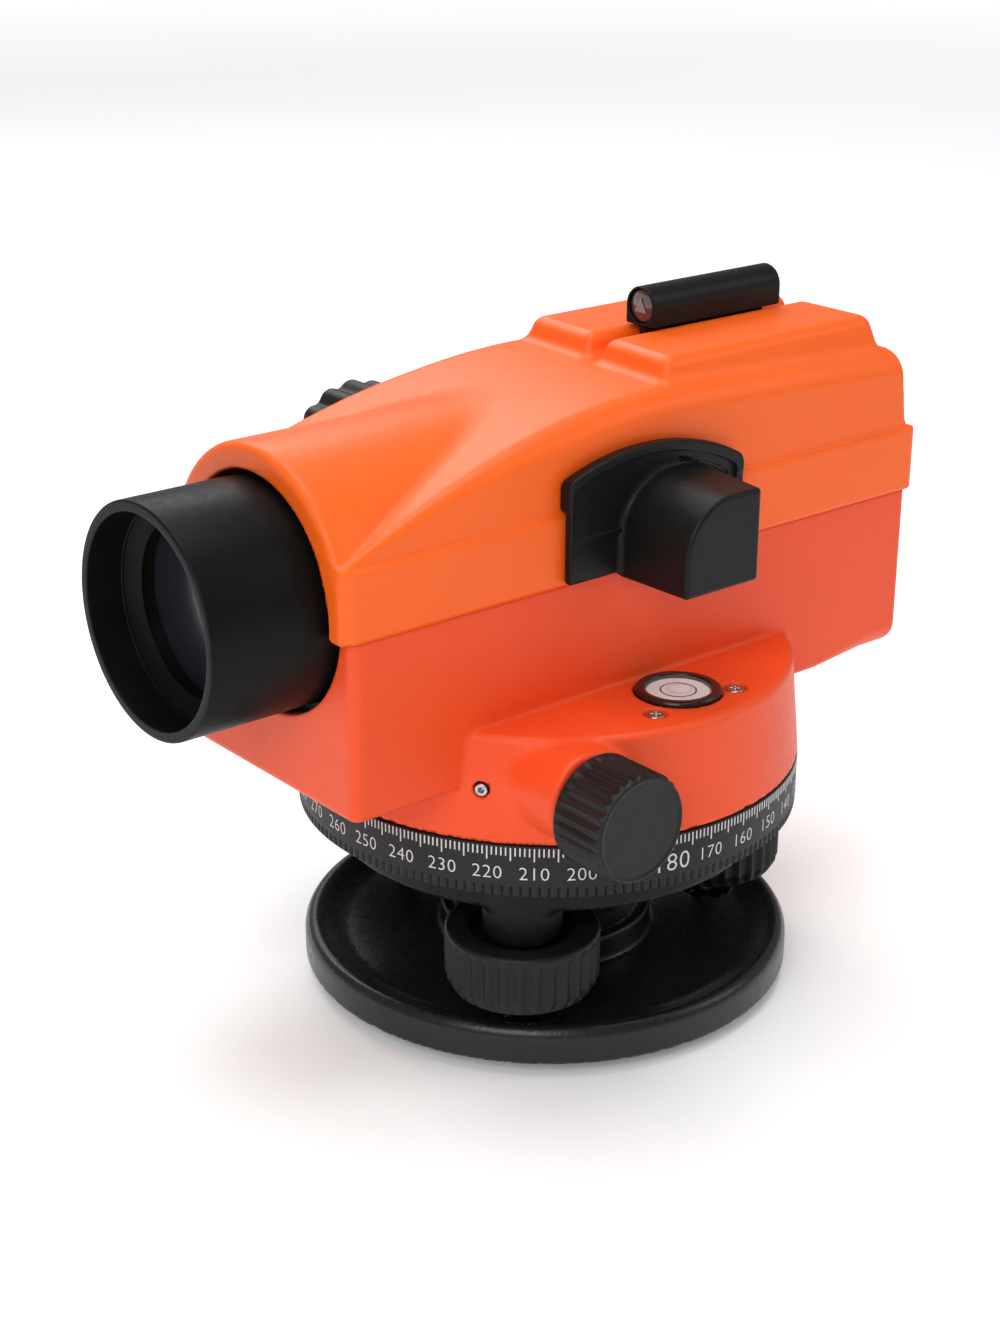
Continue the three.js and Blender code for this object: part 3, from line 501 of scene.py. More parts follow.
def cover_field(x, y, z):
    side = np.abs(y)
    shell = cover_shell(x, y, z)
    plan = both(3.0, side - BAND_HALF, x - BAND_X[1], BAND_X[0] - x)
    ledge = (SIDE_LEDGE * (side - BAND_HALF) + z - BAND_TOP) / SIDE_LEDGE_NORMAL
    rear_ledge = (REAR_LEDGE * (x - BAND_X[1]) + z - BAND_TOP) / REAR_LEDGE_NORMAL
    band = both(0.45, plan, np.maximum(ledge, rear_ledge))
    collar = both(1.2, from_axis(y, z) - COLLAR_R, x - BAND_X[1], COLLAR_FRONT - x)
    body = blend(blend(shell, band, 0.45), collar, 1.2)
    drop = PAD_TOP - z
    pad_front = PAD_FRONT - 0.3 * drop + PAD_SKEW * (y + PAD_SKEW_Y) - x
    pad_plan = both(2.4, side - PAD_HALF - 0.3 * drop, GROOVE_HALF - 0.18 * drop - side,
                    pad_front, x - PAD_REAR - 0.25 * drop)
    body = blend(body, both(2.1, pad_plan, z - PAD_TOP, PAD_FOOT - z), 2.4)
    body = both(0.35, body, SPLIT_Z - z)
    room = np.maximum(shell + WALL, SPLIT_Z - 6 - z)
    body = cut(body, room)
    for px, py in POSTS:
        post = both(0.3, np.hypot(x - px, y - py) - POST_R, SPLIT_Z - z, z - 136)
        body = np.minimum(body, np.maximum(post, shell + 0.5))
    body = cut(body, np.maximum(from_axis(y, z) - HOOD_BORE_R, x - HOOD_BORE_REAR), 0.8)
    body = cut(body, np.maximum(from_axis(y, z) - EYE_BORE_R, EYE_BORE_FRONT - x))
    shaft = np.hypot(x - FOCUS_MID[0], z - FOCUS_MID[2])
    return cut(body, np.maximum(shaft - FOCUS_SHAFT_R, 20 - y))


stand_for("upper_cover", cast(cover_field, COVER[0], (*COVER[1][:2], PAD_TOP), 0.9))


# ------------------------------------------------------------------ lower housing

SCREWS = [middle("bubble_screw_1"), middle("bubble_screw_2")]
GRUB = middle("clamp_grub_screw")

# The drum's wall tapers: DRUM_R is its radius at DRUM_R_Z.
HOUSING_HALF, HOUSING_FRONT, HOUSING_FLOOR = 29.7, -76.5, 67.4
REAR_CURVE, REAR_CURVE_GAIN = 1.6, 3.6
DRUM_R, DRUM_R_Z, DRUM_TAPER, DRUM_NORMAL = 58, 56.6, 0.094, 0.996
BOSS_R, BOSS_RAISE = 10.6, 1.5
WELL_R, WELL_MID, WELL_HALF = 54, 62, 12.5
ROOM_FLOOR = 80.5
COUNTERBORE_R, COUNTERBORE_TOP = 3.3, 71.9
GRUB_BORE_R = 1.75


def grub_frame(x, y):
    """Distance across and along the clamp grub screw's radial line."""
    outward = GRUB[:2] / np.linalg.norm(GRUB[:2])
    return x * -outward[1] + y * outward[0], x * outward[0] + y * outward[1]


def housing_shape(x, y, z):
    """The outside of the housing: box body, collar, drum and the tangent knobs' bosses."""
    side = np.abs(y)
    rear = HOUSING[1][0] - 1
    plan = both(2.4, side - HOUSING_HALF, x - rear, HOUSING_FRONT - x)
    low_edge = REAR_CURVE + REAR_CURVE_GAIN * np.clip((x - 58) / 18, 0, 1)
    body = both(low_edge, plan, HOUSING_FLOOR - z)
    collar = both(1.2, from_axis(y, z) - COLLAR_R, x - HOUSING[1][0], COLLAR_FRONT - x)
    body = both(0.4, blend(body, collar, 1.0), z - HOUSING[1][2])
    wall = (np.hypot(x, y) - DRUM_R + (z - DRUM_R_Z) * DRUM_TAPER) * DRUM_NORMAL
    knob_side = -KNOB[1][1] - 0.8
    across = np.hypot(x - WORM[0], z - WORM[2] - BOSS_RAISE)
    boss = both(1.2, across - BOSS_R, side - knob_side)
    wall = blend(wall, boss, 2.4)
    drum = both(0.4, both(1.7, wall, z - DRUM_TOP), HOUSING[0][2] - z)
    return blend(body, drum, 1.3)


def housing_field(x, y, z):
    rear = HOUSING[1][0] - 1
    room = both(2, np.abs(y) - HOUSING_HALF + WALL, x - rear + WALL, HOUSING_FRONT + WALL - x)
    outer = cut(housing_shape(x, y, z), both(1.5, room, ROOM_FLOOR - z))
    outer = cut(outer, np.maximum(np.hypot(x, y) - WELL_R, np.abs(z - WELL_MID) - WELL_HALF))
    for px, py in POSTS:
        foot = np.hypot(x - px, y - py)
        outer = np.minimum(outer, both(0.3, foot - POST_R, 69 - z, z - HOUSING[1][2]))
        outer = cut(outer, both(0.3, foot - COUNTERBORE_R, z - COUNTERBORE_TOP, 60 - z))
    seat = np.hypot(x - BUBBLE_MID[0], y - BUBBLE_MID[1]) - 9.8
    outer = cut(outer, both(0.2, seat, 70 - z), 0.5)
    for screw in SCREWS:
        outer = cut(outer, both(0.2, np.hypot(x - screw[0], y - screw[1]) - 2.7, 78.6 - z), 0.5)
    outer = cut(outer, np.maximum(from_axis(y, z) - HOOD_BORE_R, x - HOOD_BORE_REAR), 0.8)
    outer = cut(outer, np.maximum(from_axis(y, z) - EYE_BORE_R, EYE_BORE_FRONT - x))
    outer = cut(outer, np.hypot(x - WORM[0], z - WORM[2]) - WORM_BORE_R)
    off, along = grub_frame(x, y)
    return cut(outer, np.maximum(np.hypot(off, z - GRUB[2]) - GRUB_BORE_R, 50 - along), 0.5)


stand_for("lower_housing", cast(housing_field, HOUSING[0], HOUSING[1], 0.9))


# ------------------------------------------------------------------ bubble and its screws

def screw_top(at, radius, low, high, reach=0.62):
    """A small cross-head screw, head up, with a domed rim."""
    def field(x, y, z):
        dx, dy = x - at[0], y - at[1]
        head = both(0.3, np.hypot(dx, dy) - radius, z - high, low - z)
        slot = np.minimum(np.abs(dx + dy), np.abs(dx - dy)) / 1.414 - 0.11 * radius - 0.06
        cross = np.maximum(np.maximum(slot, np.hypot(dx, dy) - reach * radius), high - 0.35 * radius - z)
        return cut(head, cross, 0.15)
    corner = (at[0] - radius, at[1] - radius, low)
    return cast(field, corner, (at[0] + radius, at[1] + radius, high), radius / 12)


CUP_FLOOR, CUP_TOP, CUP_R, WINDOW_R = 72, 80.9, 9.5, 7.35
DISH_TOP, CAP_TOP, MARK_Z = 80.1, 80.88, 80.12


def fine_ring(radius, half_width, half_height):
    """The profile of a thin ring that lies on the bubble's dish."""
    angles = np.linspace(0, 2 * math.pi, 7)[:-1]
    return [(radius + half_width * math.cos(a), MARK_Z + half_height * math.sin(a)) for a in angles]


cup = rounded([(0, CUP_FLOOR), (CUP_R, CUP_FLOOR), (CUP_R, CUP_TOP, 0.7), (WINDOW_R, CUP_TOP, 0.4),
               (WINDOW_R, 74.4), (0, 74.4)], 0.2)
cup_at = (*BUBBLE_MID[:2], 0)
stand_for("bubble_cup", turned(cup, at=cup_at), GLOSS_BLACK)
dish = rounded([(0, 74.7), (7.2, 74.7), (7.2, 79.9, 0.3), (6.6, DISH_TOP, 0.3), (0, DISH_TOP)], 0.2)
stand_for("bubble_dish", turned(dish, at=cup_at))
vial = rounded([(0, 80.3), (7.2, 80.3), (7.2, 80.6), (6.8, 80.8, 0.2), (0, CAP_TOP)], 0.1)
stand_for("bubble_vial", turned(vial, at=cup_at), CLEAR)
piece("bubble_mark", turned(fine_ring(3.9, 0.19, 0.07), at=cup_at), GLOSS_BLACK, "alidade")
# The bubble is drawn as a thin steel ring: its outline, with the steel as a painted highlight along its
# edge.
bubble_at = (cup_at[0] + 0.7, cup_at[1] + 0.3, 0)
piece("bubble_edge_highlight", turned(fine_ring(2.6, 0.07, 0.05), at=bubble_at), LOOKS["steel"], "alidade")
for number, screw in enumerate(SCREWS, 1):
    stand_for(f"bubble_screw_{number}", screw_top(screw, 1.95, 78.3, 79.7))


def grub_field(x, y, z):
    across, along = grub_frame(x, y)
    off = np.hypot(across, z - GRUB[2])
    body = both(0.25, off - 1.4, along - 57.0, 51 - along)
    return cut(body, np.maximum(off - 0.65, 55.4 - along), 0.15)


GRUB_SPAN = span("clamp_grub_screw")
stand_for("clamp_grub_screw", cast(grub_field, GRUB_SPAN[0] - 0.3, GRUB_SPAN[1] + 0.3, 0.2))


# ------------------------------------------------------------------ mirror housing

FLANGE_X = (-23, float(MIRROR[1][0]))
FLANGE_FRONT, FLANGE_FOOT = -33.6, 107.6
HOOD_Y = float(MIRROR[0][1])
RIM = 2.3


def mirror_field(x, y, z):
    """The arched flange with its recess, groove and rib, and the square snout over the bubble."""
    arch = (np.hypot((x + 1) / 40, (z - 108) / 26.4) - 1) * 28
    outline = both(1.3, FLANGE_X[0] - x, x - FLANGE_X[1], FLANGE_FOOT - z, arch)
    plate = both(0.5, outline, FLANGE_FRONT - y, y + 31.4)
    lip = both(1.3, FLANGE_X[0] - 0.5 - x, x - FLANGE_X[1], 123.3 - z, arch)
    plate = blend(plate, both(0.5, lip, FLANGE_FRONT - y, y + 30.3), 0.6)
    recess = both(0.8, arch + RIM, FLANGE_X[0] + 0.8 - x, x - FLANGE_X[1] + RIM)
    plate = cut(plate, np.maximum(recess, y + 32.7), 0.5)
    groove = np.maximum(np.abs(outline + 4.4) - 0.35, y + 32.25)
    plate = cut(plate, np.maximum(groove, 8 - x), 0.3)
    rib = both(0.25, np.abs(z - 117.2) - 0.4, -20.2 - x, x + 8.9, y + 32, -33.25 - y)
    plate = blend(plate, rib, 0.35)
    lean = y - HOOD_Y
    left, top = -7.6 - 0.03 * lean, 126.8 + 0.07 * lean
    corner = both(12.4, left - x, z - top)
    box = both(0.9, corner, x - 13.4, 106.4 - z, HOOD_Y - y)
    box = np.maximum(box, y + 32.5)
    body = blend(plate, box, 1.6)
    throat = np.maximum.reduce([(z - x - 112.7) / 1.414, -50.6 - y, y + 34.6, z - 125.6])
    return cut(body, throat, 0.4)


stand_for("mirror_housing", cast(mirror_field, MIRROR[0], MIRROR[1], 0.45))


# ------------------------------------------------------------------ sight tube

SIGHT_MID = middle("sight_front_lens")
SIGHT_R, SIGHT_BORE_R, SIGHT_MOUTH_R = 4.5, 3.4, 3.85
SIGHT_LENS_R = 3.6


def sight_field(x, y, z):
    """A tube that is round above and square below, on a key that stands in the pads' groove."""
    wide = np.where(z > SIGHT_MID[2], np.hypot(y, z - SIGHT_MID[2]), np.abs(y)) - SIGHT_R
    tube = both(0.4, wide, 149.5 - z, SIGHT[0][0] - x, x - SIGHT[1][0])
    key = both(0.2, np.abs(y) - 1.6, 147.4 - z, z - 150, 28 - x, x - 64)
    foot = both(0.3, np.abs(y) - 1.1, 146.2 - z, z - 150, 27 - x, x - 31)
    radius = np.where(x < SIGHT[0][0] + 3, SIGHT_MOUTH_R, SIGHT_BORE_R)
    bore = np.hypot(y, z - SIGHT_MID[2]) - radius
    return cut(np.minimum(np.minimum(tube, key), foot), bore, 0.3)


stand_for("sight_tube", cast(sight_field, SIGHT[0] - (0, 0, 1), SIGHT[1], 0.45))
sight_lens = rounded([(0, 26.4), (SIGHT_LENS_R, 26.7), (SIGHT_LENS_R, 28.6), (0, 28.6)], 0.15)
stand_for("sight_front_lens", turned(sight_lens, "x", (0, 0, SIGHT_MID[2]), 48), COATED_AMBER)
tip = np.array([[26.2, -1.9, -1.4], [26.2, 1.9, -1.4], [26.2, 0, 1.9]]) + (0, 0, SIGHT_MID[2])
triangle = np.concatenate([tip, tip + (0.15, 0, 0)])
sides = [(0, 2, 1), (3, 4, 5), (0, 1, 4, 3), (1, 2, 5, 4), (2, 0, 3, 5)]
piece("sight_mark", (triangle, sides), TINTED, "alidade")


# ------------------------------------------------------------------ telescope front

LINE = (0, 0, AXIS_Z)
HOOD_R, HOOD_INNER_R, HOOD_REAR = 24.66, 22.3, -64
CELL_R, CELL_BORE_R, CELL_SEAT_R = 22.0, 19.6, 18.2
front_x = float(HOOD[0][0])
hood = rounded([
    (HOOD_INNER_R, front_x, 0.25), (HOOD_R, front_x, 0.5), (HOOD_R, HOOD_REAR), (HOOD_INNER_R, HOOD_REAR),
    (HOOD_INNER_R, front_x + 9.2, 0.1), (22.0, front_x + 9.0, 0.1), (22.0, front_x + 8.2, 0.1),
    (HOOD_INNER_R, front_x + 8.0, 0.1),
], 0.3)
# Hood, cell and retainer take the darker black, partly painted shade inside the hood.
stand_for("objective_hood", turned(hood, "x", LINE, 160), DEEP_BLACK_AND_SHADE)
cell = rounded([(CELL_BORE_R, -94), (CELL_R, -94), (CELL_R, -78), (CELL_SEAT_R, -78), (CELL_SEAT_R, -80.4),
                (CELL_BORE_R, -80.4)], 0.2)
stand_for("objective_cell", turned(cell, "x", LINE, 96), DEEP_BLACK_AND_SHADE)
retainer = [(CELL_R, -96.4), (CELL_R, -94.3), (18.6, -94.3)]
retainer += [(18.6 + 0.55 * k + 0.2 * (k % 2), -94.6 - 0.3 * k) for k in range(1, 6)]
stand_for("objective_retainer", turned(retainer, "x", LINE, 96), DEEP_BLACK_AND_SHADE)


def lens(node, radius, x, front, rear, edge, material):
    """A lens whose edge is `edge` thick from x, with faces that bulge by front and rear."""
    k = np.linspace(0, 1, 9)
    face = [(radius * t, x - front * (1 - t * t)) for t in k]
    back = [(radius * t, x + edge + rear * (1 - t * t)) for t in k[::-1]]
    stand_for(node, turned(face + back, "x", LINE, 96), material)


lens("objective_crown_lens", 19.3, -91, 1.8, 1.8, 3, COATED_BLUE)
lens("eye_lens", 8.9, 96, 1.4, 0.3, 2, COATED_BLUE)


# ------------------------------------------------------------------ knobs

def fluted(count, depth, low, high, ease, inner, sharp=1.0, both_ends=True):
    """Flutes between two heights that fade out over `ease`, for radii beyond `inner`."""
    def shape(r, h, angle):
        wave = (0.5 - 0.5 * np.cos(count * angle)) ** sharp
        window = np.clip((h - low) / ease, 0, 1) if both_ends else 1
        window = np.sqrt(np.maximum(window * np.clip((high - h) / ease, 0, 1), 0))
        return np.where(r > inner, r - depth * wave * window, r)
    return shape


def stations(points, longest=0.8):
    """The same closed outline with long runs split, so that flutes have points to bend."""
    out = []
    for i, here in enumerate(points):
        after = np.array(points[(i + 1) % len(points)], float)
        here = np.array(here, float)
        steps = max(1, int(np.ceil(abs(after[1] - here[1]) / longest)))
        out += [here + (after - here) * k / steps for k in range(steps)]
    return out


FOOT_R, BALL_R, BALL_Z = 17.2, 3.4, 9.4
THREAD_LOW, THREAD_STEP = 13, 0.375
foot_low, foot_high = (float(v[2]) for v in span("front_foot_knob"))
foot_outline = rounded([
    (3.8, foot_low), (11, foot_low, 2), (15.7, foot_low + 1.7, 2.2), (FOOT_R, foot_low + 4.4, 2.0),
    (FOOT_R, foot_high, 1.0), (11.9, foot_high, 0.5), (11.6, foot_high - 3.8, 0.6), (3.8, foot_high - 3.8),
], 0.3)
foot_shape = fluted(30, 0.95, foot_low + 2.2, foot_high - 1.5, 1.6, 14.5, 0.8)


def foot_screw(top):
    """The ball, neck and ridged thread of a levelling screw, up to a height."""
    ball = [(BALL_R * math.sin(a), BALL_Z - BALL_R * math.cos(a)) for a in np.linspace(0, 2.6, 14)]
    steps = int((top - THREAD_LOW - 0.6) / THREAD_STEP)
    thread = [(3.35 if k % 2 else 3.0, THREAD_LOW + THREAD_STEP * k) for k in range(steps)]
    return ball + [(2.4, 12.9)] + thread + [(2.6, top), (0, top)]


for side, at in FEET.items():
    spot = (at[0], at[1], 0)
    stand_for(f"{side}_foot_knob", turned(stations(foot_outline), "z", spot, 300, foot_shape))
    top = float(span(f"{side}_foot_screw")[1][2])
    stand_for(f"{side}_foot_screw", turned(foot_screw(top), "z", spot, 48))

TANGENT_R, TANGENT_START, TANGENT_END = 12.0, 53.2, 67.75
knob_profile = rounded([
    (WORM_BORE_R, TANGENT_START), (11.2, TANGENT_START, 0.5), (TANGENT_R, 54.0, 0.4), (TANGENT_R, 66.4, 1.2),
    (11.1, TANGENT_END, 0.5), (10.2, 67.35, 0.5), (0, 67.55), (0, 63.8), (WORM_BORE_R, 63.8),
], 0.2)
for side, sign in (("near", -1), ("far", 1)):
    outline = [(r, sign * h) for r, h in stations(knob_profile)]
    low, high = sorted((sign * 54.6, sign * 67.0))
    shape = fluted(28, 0.7, low, high, 1.5, 10.6, 0.8)
    stand_for(f"{side}_tangent_knob", turned(outline, "y", (WORM[0], 0, WORM[2]), 280, shape))

FOCUS_R, FOCUS_LIP_R = 17.7, 15.6
near, far = float(FOCUS[0][1]), float(FOCUS[1][1])
focus_profile = rounded([
    (FOCUS_SHAFT_R, near), (16.2, near, 1.0), (FOCUS_R, near + 1.8, 1.2), (FOCUS_R, far - 1.6, 1.6),
    (FOCUS_LIP_R, far, 0.8), (13.4, far - 0.5, 0.5), (0, far - 0.2), (0, far - 4), (FOCUS_SHAFT_R, far - 4),
], 0.3)
focus_shape = fluted(16, 1.5, near + 1.0, far + 0.6, 3.5, 14.2, 1.4)
focus_at = (FOCUS_MID[0], 0, FOCUS_MID[2])
stand_for("focus_knob", turned(stations(focus_profile), "y", focus_at, 256, focus_shape))


# ------------------------------------------------------------------ base and levelling head

PLATE_R, PLATE_BORE_R, PLATE_TOP = 51.5, 9.2, 2.4
BASE_R, BASE_TOP = 57.5, 12
DISH_R, DISH_FLOOR, DISH_FLARE = 50.2, 8.4, 1.1
CENTRE_BOSS_R, CENTRE_BOSS_TOP, CENTRE_WELL_R, CENTRE_WELL_FLOOR = 25, 15, 21.8, 12.6
SOCKET_R, SOCKET_FLOOR, SOCKET_FLARE = 4.6, 4.6, 0.41
TRIPOD_BORE_R, THREAD_DEPTH, THREAD_RIDGE = 7.94, 0.62, 1.13

plate = rounded([(PLATE_BORE_R, 0), (PLATE_R, 0, 0.6), (PLATE_R, PLATE_TOP, 0.4), (PLATE_BORE_R, PLATE_TOP)],
                0.3)
stand_for("mounting_plate", turned(plate, segments=128))
bush = [(11, 2.7), (11, 14)]
bush += [(TRIPOD_BORE_R + (THREAD_DEPTH if k % 2 else 0), 14 - THREAD_RIDGE * k) for k in range(11)]
stand_for("tripod_thread_bush", turned(bush, segments=72))


def base_field(x, y, z):
    """The dished base with its centre boss and the sockets of the screws' balls."""
    rho = np.hypot(x, y)
    disc = both(0.8, both(3.4, rho - BASE_R, z - BASE_TOP), BASE[0][2] - z)
    flare = (rho - DISH_R - DISH_FLARE * (z - DISH_FLOOR)) / 1.4
    disc = cut(disc, both(2.2, DISH_FLOOR - z, flare, z - 20), 2.4)
    boss = both(1.0, rho - CENTRE_BOSS_R, z - CENTRE_BOSS_TOP)
    disc = blend(disc, np.maximum(boss, 4 - z), 2.0)
    disc = cut(disc, both(0.6, rho - CENTRE_WELL_R, CENTRE_WELL_FLOOR - z), 0.6)
    disc = cut(disc, rho - 11.4, 0.4)
    for at in FEET.values():
        off = np.hypot(x - at[0], y - at[1])
        socket = np.maximum(off - SOCKET_R - SOCKET_FLARE * (z - SOCKET_FLOOR), SOCKET_FLOOR - z)
        disc = cut(disc, socket, 0.5)
    return both(0.8, disc, BASE[0][2] - z)


stand_for("base_plate", cast(base_field, BASE[0], BASE[1], 1.0), BASE_BLACK)


HEAD_R, HEAD_LOW, HUB_R, AXIS_BORE_R = 50, 36.6, 23.4, 13.7
LEG_R, LEG_LOW, LEG_BORE_R, LEG_BORE_TOP = 8.9, 28.6, 4.3, 42.6


def head_field(x, y, z):
    """The levelling head: a disc with a hub and three legs that take the screws."""
    rho = np.hypot(x, y)
    low, high = HEAD[0][2], HEAD[1][2]
    disc = both(0.8, rho - HEAD_R, z - high, HEAD_LOW - z)
    hub = both(2.2, rho - HUB_R, low - z, z - high)
    body = blend(disc, hub, 2.5)
    for at in FEET.values():
        off = np.hypot(x - at[0], y - at[1])
        leg = both(0.8, off - LEG_R, LEG_LOW - z, z - high)
        body = cut(blend(body, leg, 1.6), np.maximum(off - LEG_BORE_R, z - LEG_BORE_TOP))
    return cut(body, rho - AXIS_BORE_R)


stand_for("levelling_head", cast(head_field, HEAD[0], HEAD[1], 1.0))


# ------------------------------------------------------------------ horizontal circle

RING_R = float(CIRCLE[1][0])
RING_LOW, RING_HIGH = float(CIRCLE[0][2]), float(CIRCLE[1][2])
RING_INNER_R, STEP_Z = 44, 2.2
FIRST_MARK = 436.85
NOTCHES, NOTCH_DEPTH = 180, 0.5


def notched(r, h, angle):
    """Fine notches around the ring's lower edge."""
    notch = np.clip(np.cos(NOTCHES * angle) * 2 - 0.7, 0, 1)
    window = np.where((h > RING_LOW + 0.25) & (h < RING_LOW + 2.4), 1.0, 0.0)
    return np.where(r > 56, r - NOTCH_DEPTH * notch * window, r)


wall_r = RING_R - 0.1
band = [(RING_INNER_R, RING_LOW, 0.3), (wall_r, RING_LOW, 0.5), (wall_r, RING_LOW + STEP_Z, 0.1),
        (RING_R, RING_LOW + 2.6, 0.1), (wall_r, RING_HIGH, 0.4), (RING_INNER_R, RING_HIGH, 0.3)]
stand_for("horizontal_circle", turned(stations(rounded(band, steps=3), 0.6), segments=1080, shape=notched))


def on_ring(points, angle, lift):
    """Flat points [right, up] laid on the ring's wall at an angle, `lift` proud of it."""
    points = np.asarray(points, float)
    turn = math.radians(angle) + points[:, 0] / RING_R
    r = RING_R - 0.05 + lift
    return np.stack([r * np.cos(turn), r * np.sin(turn), points[:, 1]], -1)


def stroke(angle, low, high, width):
    """One graduation mark, a thin bar laid on the ring's wall."""
    half = width / 2
    outline = [[-half, low], [half, low], [half, high], [-half, high]]
    verts = np.concatenate([on_ring(outline, angle, -0.1), on_ring(outline, angle, 0.04)])
    walls = [(k, (k + 1) % 4, 4 + (k + 1) % 4, 4 + k) for k in range(4)]
    return verts, [(3, 2, 1, 0), (4, 5, 6, 7), *walls]


def figures(text, angle, height, mid):
    """A number as a thin sheet bent onto the ring's wall."""
    curve = bpy.data.curves.new("figures", "FONT")
    curve.body = text
    curve.size = height / 0.73
    curve.align_x = "CENTER"
    curve.resolution_u = 3
    curve.space_character = 1.06
    curve.offset = -0.05
    obj = bpy.data.objects.new("figures", curve)
    bpy.context.scene.collection.objects.link(obj)
    mesh = bpy.data.meshes.new_from_object(obj.evaluated_get(bpy.context.evaluated_depsgraph_get()))
    flat = np.array([v.co[:2] for v in mesh.vertices], float)
    flat[:, 1] += mid - (flat[:, 1].min() + flat[:, 1].max()) / 2
    faces = [tuple(p.vertices) for p in mesh.polygons]
    bpy.data.objects.remove(obj)
    bpy.data.meshes.remove(mesh)
    bpy.data.curves.remove(curve)
    return on_ring(flat, angle, 0.04), faces


LONG_MARK, SHORT_MARK, MARK_WIDTH = 3.4, 2.3, 0.3
FIGURE_HEIGHT, LARGE_FIGURE_HEIGHT, FIGURE_Z = 3.15, 4.3, 49.9
LARGE_FIGURE = 180

ticks = []
for degree in range(360):
    length = LONG_MARK if degree % 5 == 0 else SHORT_MARK
    ticks.append(stroke(FIRST_MARK - degree, RING_HIGH - length, RING_HIGH - 0.4, MARK_WIDTH))
piece("circle_graduations", joined(*ticks), MARK_WHITE, "circle")
labels = []
for degree in range(0, 360, 10):
    height = LARGE_FIGURE_HEIGHT if degree == LARGE_FIGURE else FIGURE_HEIGHT
    labels.append(figures(str(degree), FIRST_MARK - degree, height, FIGURE_Z))
piece("circle_figures", joined(*labels), MARK_WHITE, "circle")


# ------------------------------------------------------------------ eyepiece

MOUNT_BORE_R, MOUNT_R, MOUNT_FLANGE_R = 12.5, 13.1, 18.6
DIAL_BORE_R, DIAL_R, DIAL_START, DIAL_END = 12.4, 16.6, 91.4, 97.8
BARREL_BORE_R, BARREL_OUTER_R, BARREL_START, BARREL_END = 9.2, 12.1, 72, 101.6

mount = rounded([(MOUNT_BORE_R, 61), (MOUNT_R, 61), (MOUNT_R, 88.1, 0), (MOUNT_FLANGE_R, 88.1, 0.4),
                 (MOUNT_FLANGE_R, 90.4, 0.6), (17.6, 91.1, 0.3), (MOUNT_BORE_R, 91.1)], 0.3)
stand_for("eyepiece_mount", turned(mount, "x", LINE, 96))
dial = rounded([(DIAL_BORE_R, DIAL_START), (16.2, DIAL_START, 0.5), (DIAL_R, 92.2, 0.4), (DIAL_R, 97.2, 0.5),
                (16.0, DIAL_END, 0.4), (DIAL_BORE_R, DIAL_END)], 0.3)
dial_shape = fluted(40, 0.6, 92.2, 97.2, 0.8, 15.5, 0.8)
stand_for("dioptre_ring", turned(stations(dial, 0.6), "x", LINE, 240, dial_shape))
barrel = rounded([(BARREL_BORE_R, BARREL_START), (BARREL_OUTER_R, BARREL_START),
                  (BARREL_OUTER_R, BARREL_END, 0.3), (BARREL_BORE_R, BARREL_END)], 0.3)
stand_for("eyepiece_cell", turned(barrel, "x", LINE, 96))
end_x = float(span("eyecup")[1][0])
eyecup = rounded([
    (12.4, 99.3), (14.6, 99.3, 0.4), (15.2, 100.4, 0.6), (14.6, 102.4, 0.8), (14.9, end_x - 1, 0.8),
    (13.8, end_x, 0.8), (8.9, end_x - 2.2, 0.8), (8.6, 101.9), (12.4, 101.9),
], 0.3)
stand_for("eyecup", turned(eyecup, "x", LINE, 96))
for number in range(1, 5):
    node = f"cover_screw_{number}"
    at = middle(node)
    low = float(span(node)[0][2])
    screw = rounded([(0, low), (2.9, low, 0.6), (2.9, low + 3), (1.6, low + 3.4), (1.6, 115), (0, 115.6)],
                    0.2)
    stand_for(node, turned(screw, "z", (at[0], at[1], 0), 32))


# ------------------------------------------------------------------ floor, light and camera

FLOOR_HALF = 6.0
GLOW_NEAR, GLOW_FAR = 0.14, 0.62
GLOW_START, GLOW_END = 0.9, 2.4

floor_mesh = bpy.data.meshes.new("floor")
corners = [(x * FLOOR_HALF, y * FLOOR_HALF, 0) for x, y in ((-1, -1), (1, -1), (1, 1), (-1, 1))]
floor_mesh.from_pydata(corners, [], [(0, 1, 2, 3)])
paper = finish_look("floor_paper", (0.96, 0.96, 0.96), (0.94, 0.94, 0.94), 0.8,
                    grain=300, bump=0.02, patch=3, specular=0.2)
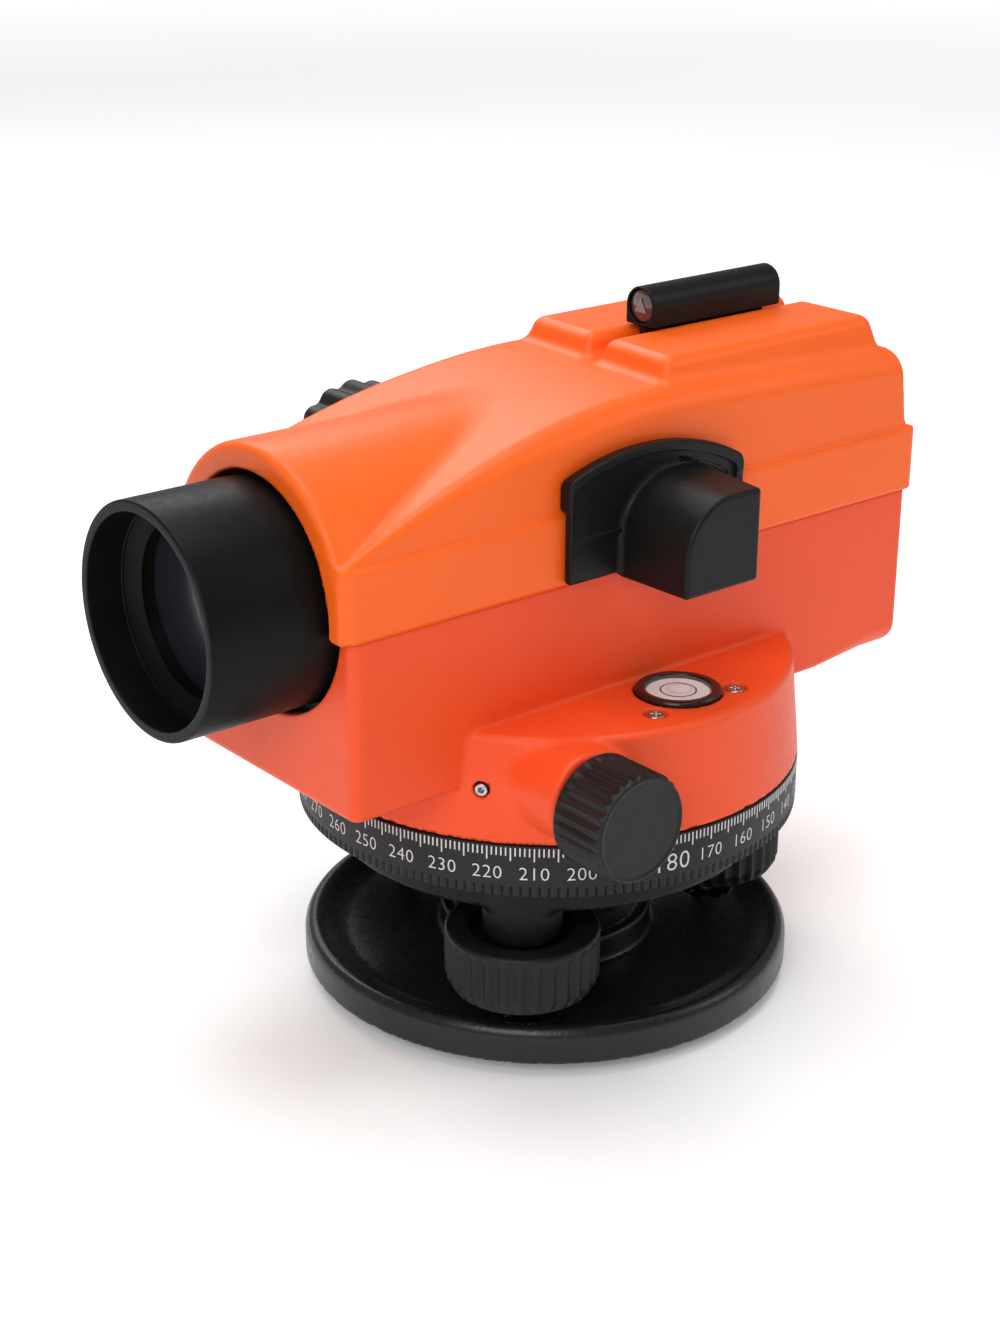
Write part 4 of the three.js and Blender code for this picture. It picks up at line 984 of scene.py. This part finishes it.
# The paper glows a little more far from the object, which keeps the background white.
paper_nodes = paper.node_tree.nodes
away = paper_nodes.new("ShaderNodeVectorMath")
away.operation = "LENGTH"
paper.node_tree.links.new(paper_nodes["Texture Coordinate"].outputs["Object"], away.inputs[0])
glow = ranged(paper.node_tree, away.outputs["Value"], GLOW_START, GLOW_END, GLOW_NEAR, GLOW_FAR)
paper.node_tree.links.new(glow, paper_nodes["Principled BSDF"].inputs["Emission Strength"])
paper_nodes["Principled BSDF"].inputs["Emission Color"].default_value = (1, 1, 1, 1)
floor_mesh.materials.append(paper)
floor = bpy.data.objects.new("floor", floor_mesh)
floor.location.z = cad_box[0][2] - 0.0002
bpy.context.scene.collection.objects.link(floor)

scene = bpy.context.scene
scene.view_settings.view_transform = "Standard"
world = bpy.data.worlds.new("studio")
world.use_nodes = True
sky = world.node_tree.nodes["Background"]
sky.inputs["Color"].default_value = (1, 1, 1, 1)
sky.inputs["Strength"].default_value = 0.28
scene.world = world


def lamp(name, at, target, width, height, power):
    """A soft rectangular lamp that points at a target."""
    data = bpy.data.lights.new(name, "AREA")
    data.shape = "RECTANGLE"
    data.size, data.size_y, data.energy = width, height, power
    obj = bpy.data.objects.new(name, data)
    obj.location = at
    obj.rotation_euler = (Vector(target) - Vector(at)).to_track_quat("-Z", "Y").to_euler()
    bpy.context.scene.collection.objects.link(obj)


lamp("key", (-0.75, -0.5, 0.7), (0, 0, 0.1), 0.6, 0.5, 4.4)
lamp("right", (0.75, -0.65, 0.7), (0, 0, 0.08), 0.45, 0.5, 1.4)
lamp("back", (0.2, 0.85, 0.85), (0, 0, 0.1), 0.9, 0.5, 5.5)
lamp("overhead", (0, 0.1, 2.4), (0, 0, 0), 1.6, 1.6, 30)

# The camera was fitted to the photograph: its place, turn, focal length and centre.
PHOTO_HEIGHT, FOCAL = 1333, 2240.99
CENTRE_SHIFT = (2.33, -3.17)
TILT, ROLL, AZIMUTH = 90 - 21.989, -0.133, -39.429

camera = bpy.data.objects.new("camera", bpy.data.cameras.new("camera"))
camera.location = (-0.31300, -0.36184, 0.26751)
camera.rotation_mode = "XYZ"
camera.rotation_euler = [math.radians(a) for a in (TILT, ROLL, AZIMUTH)]
camera.data.lens = 36 * FOCAL / PHOTO_HEIGHT
camera.data.shift_x = CENTRE_SHIFT[0] / PHOTO_HEIGHT
camera.data.shift_y = CENTRE_SHIFT[1] / PHOTO_HEIGHT
camera.data.clip_start = 0.01
bpy.context.scene.collection.objects.link(camera)
scene.camera = camera
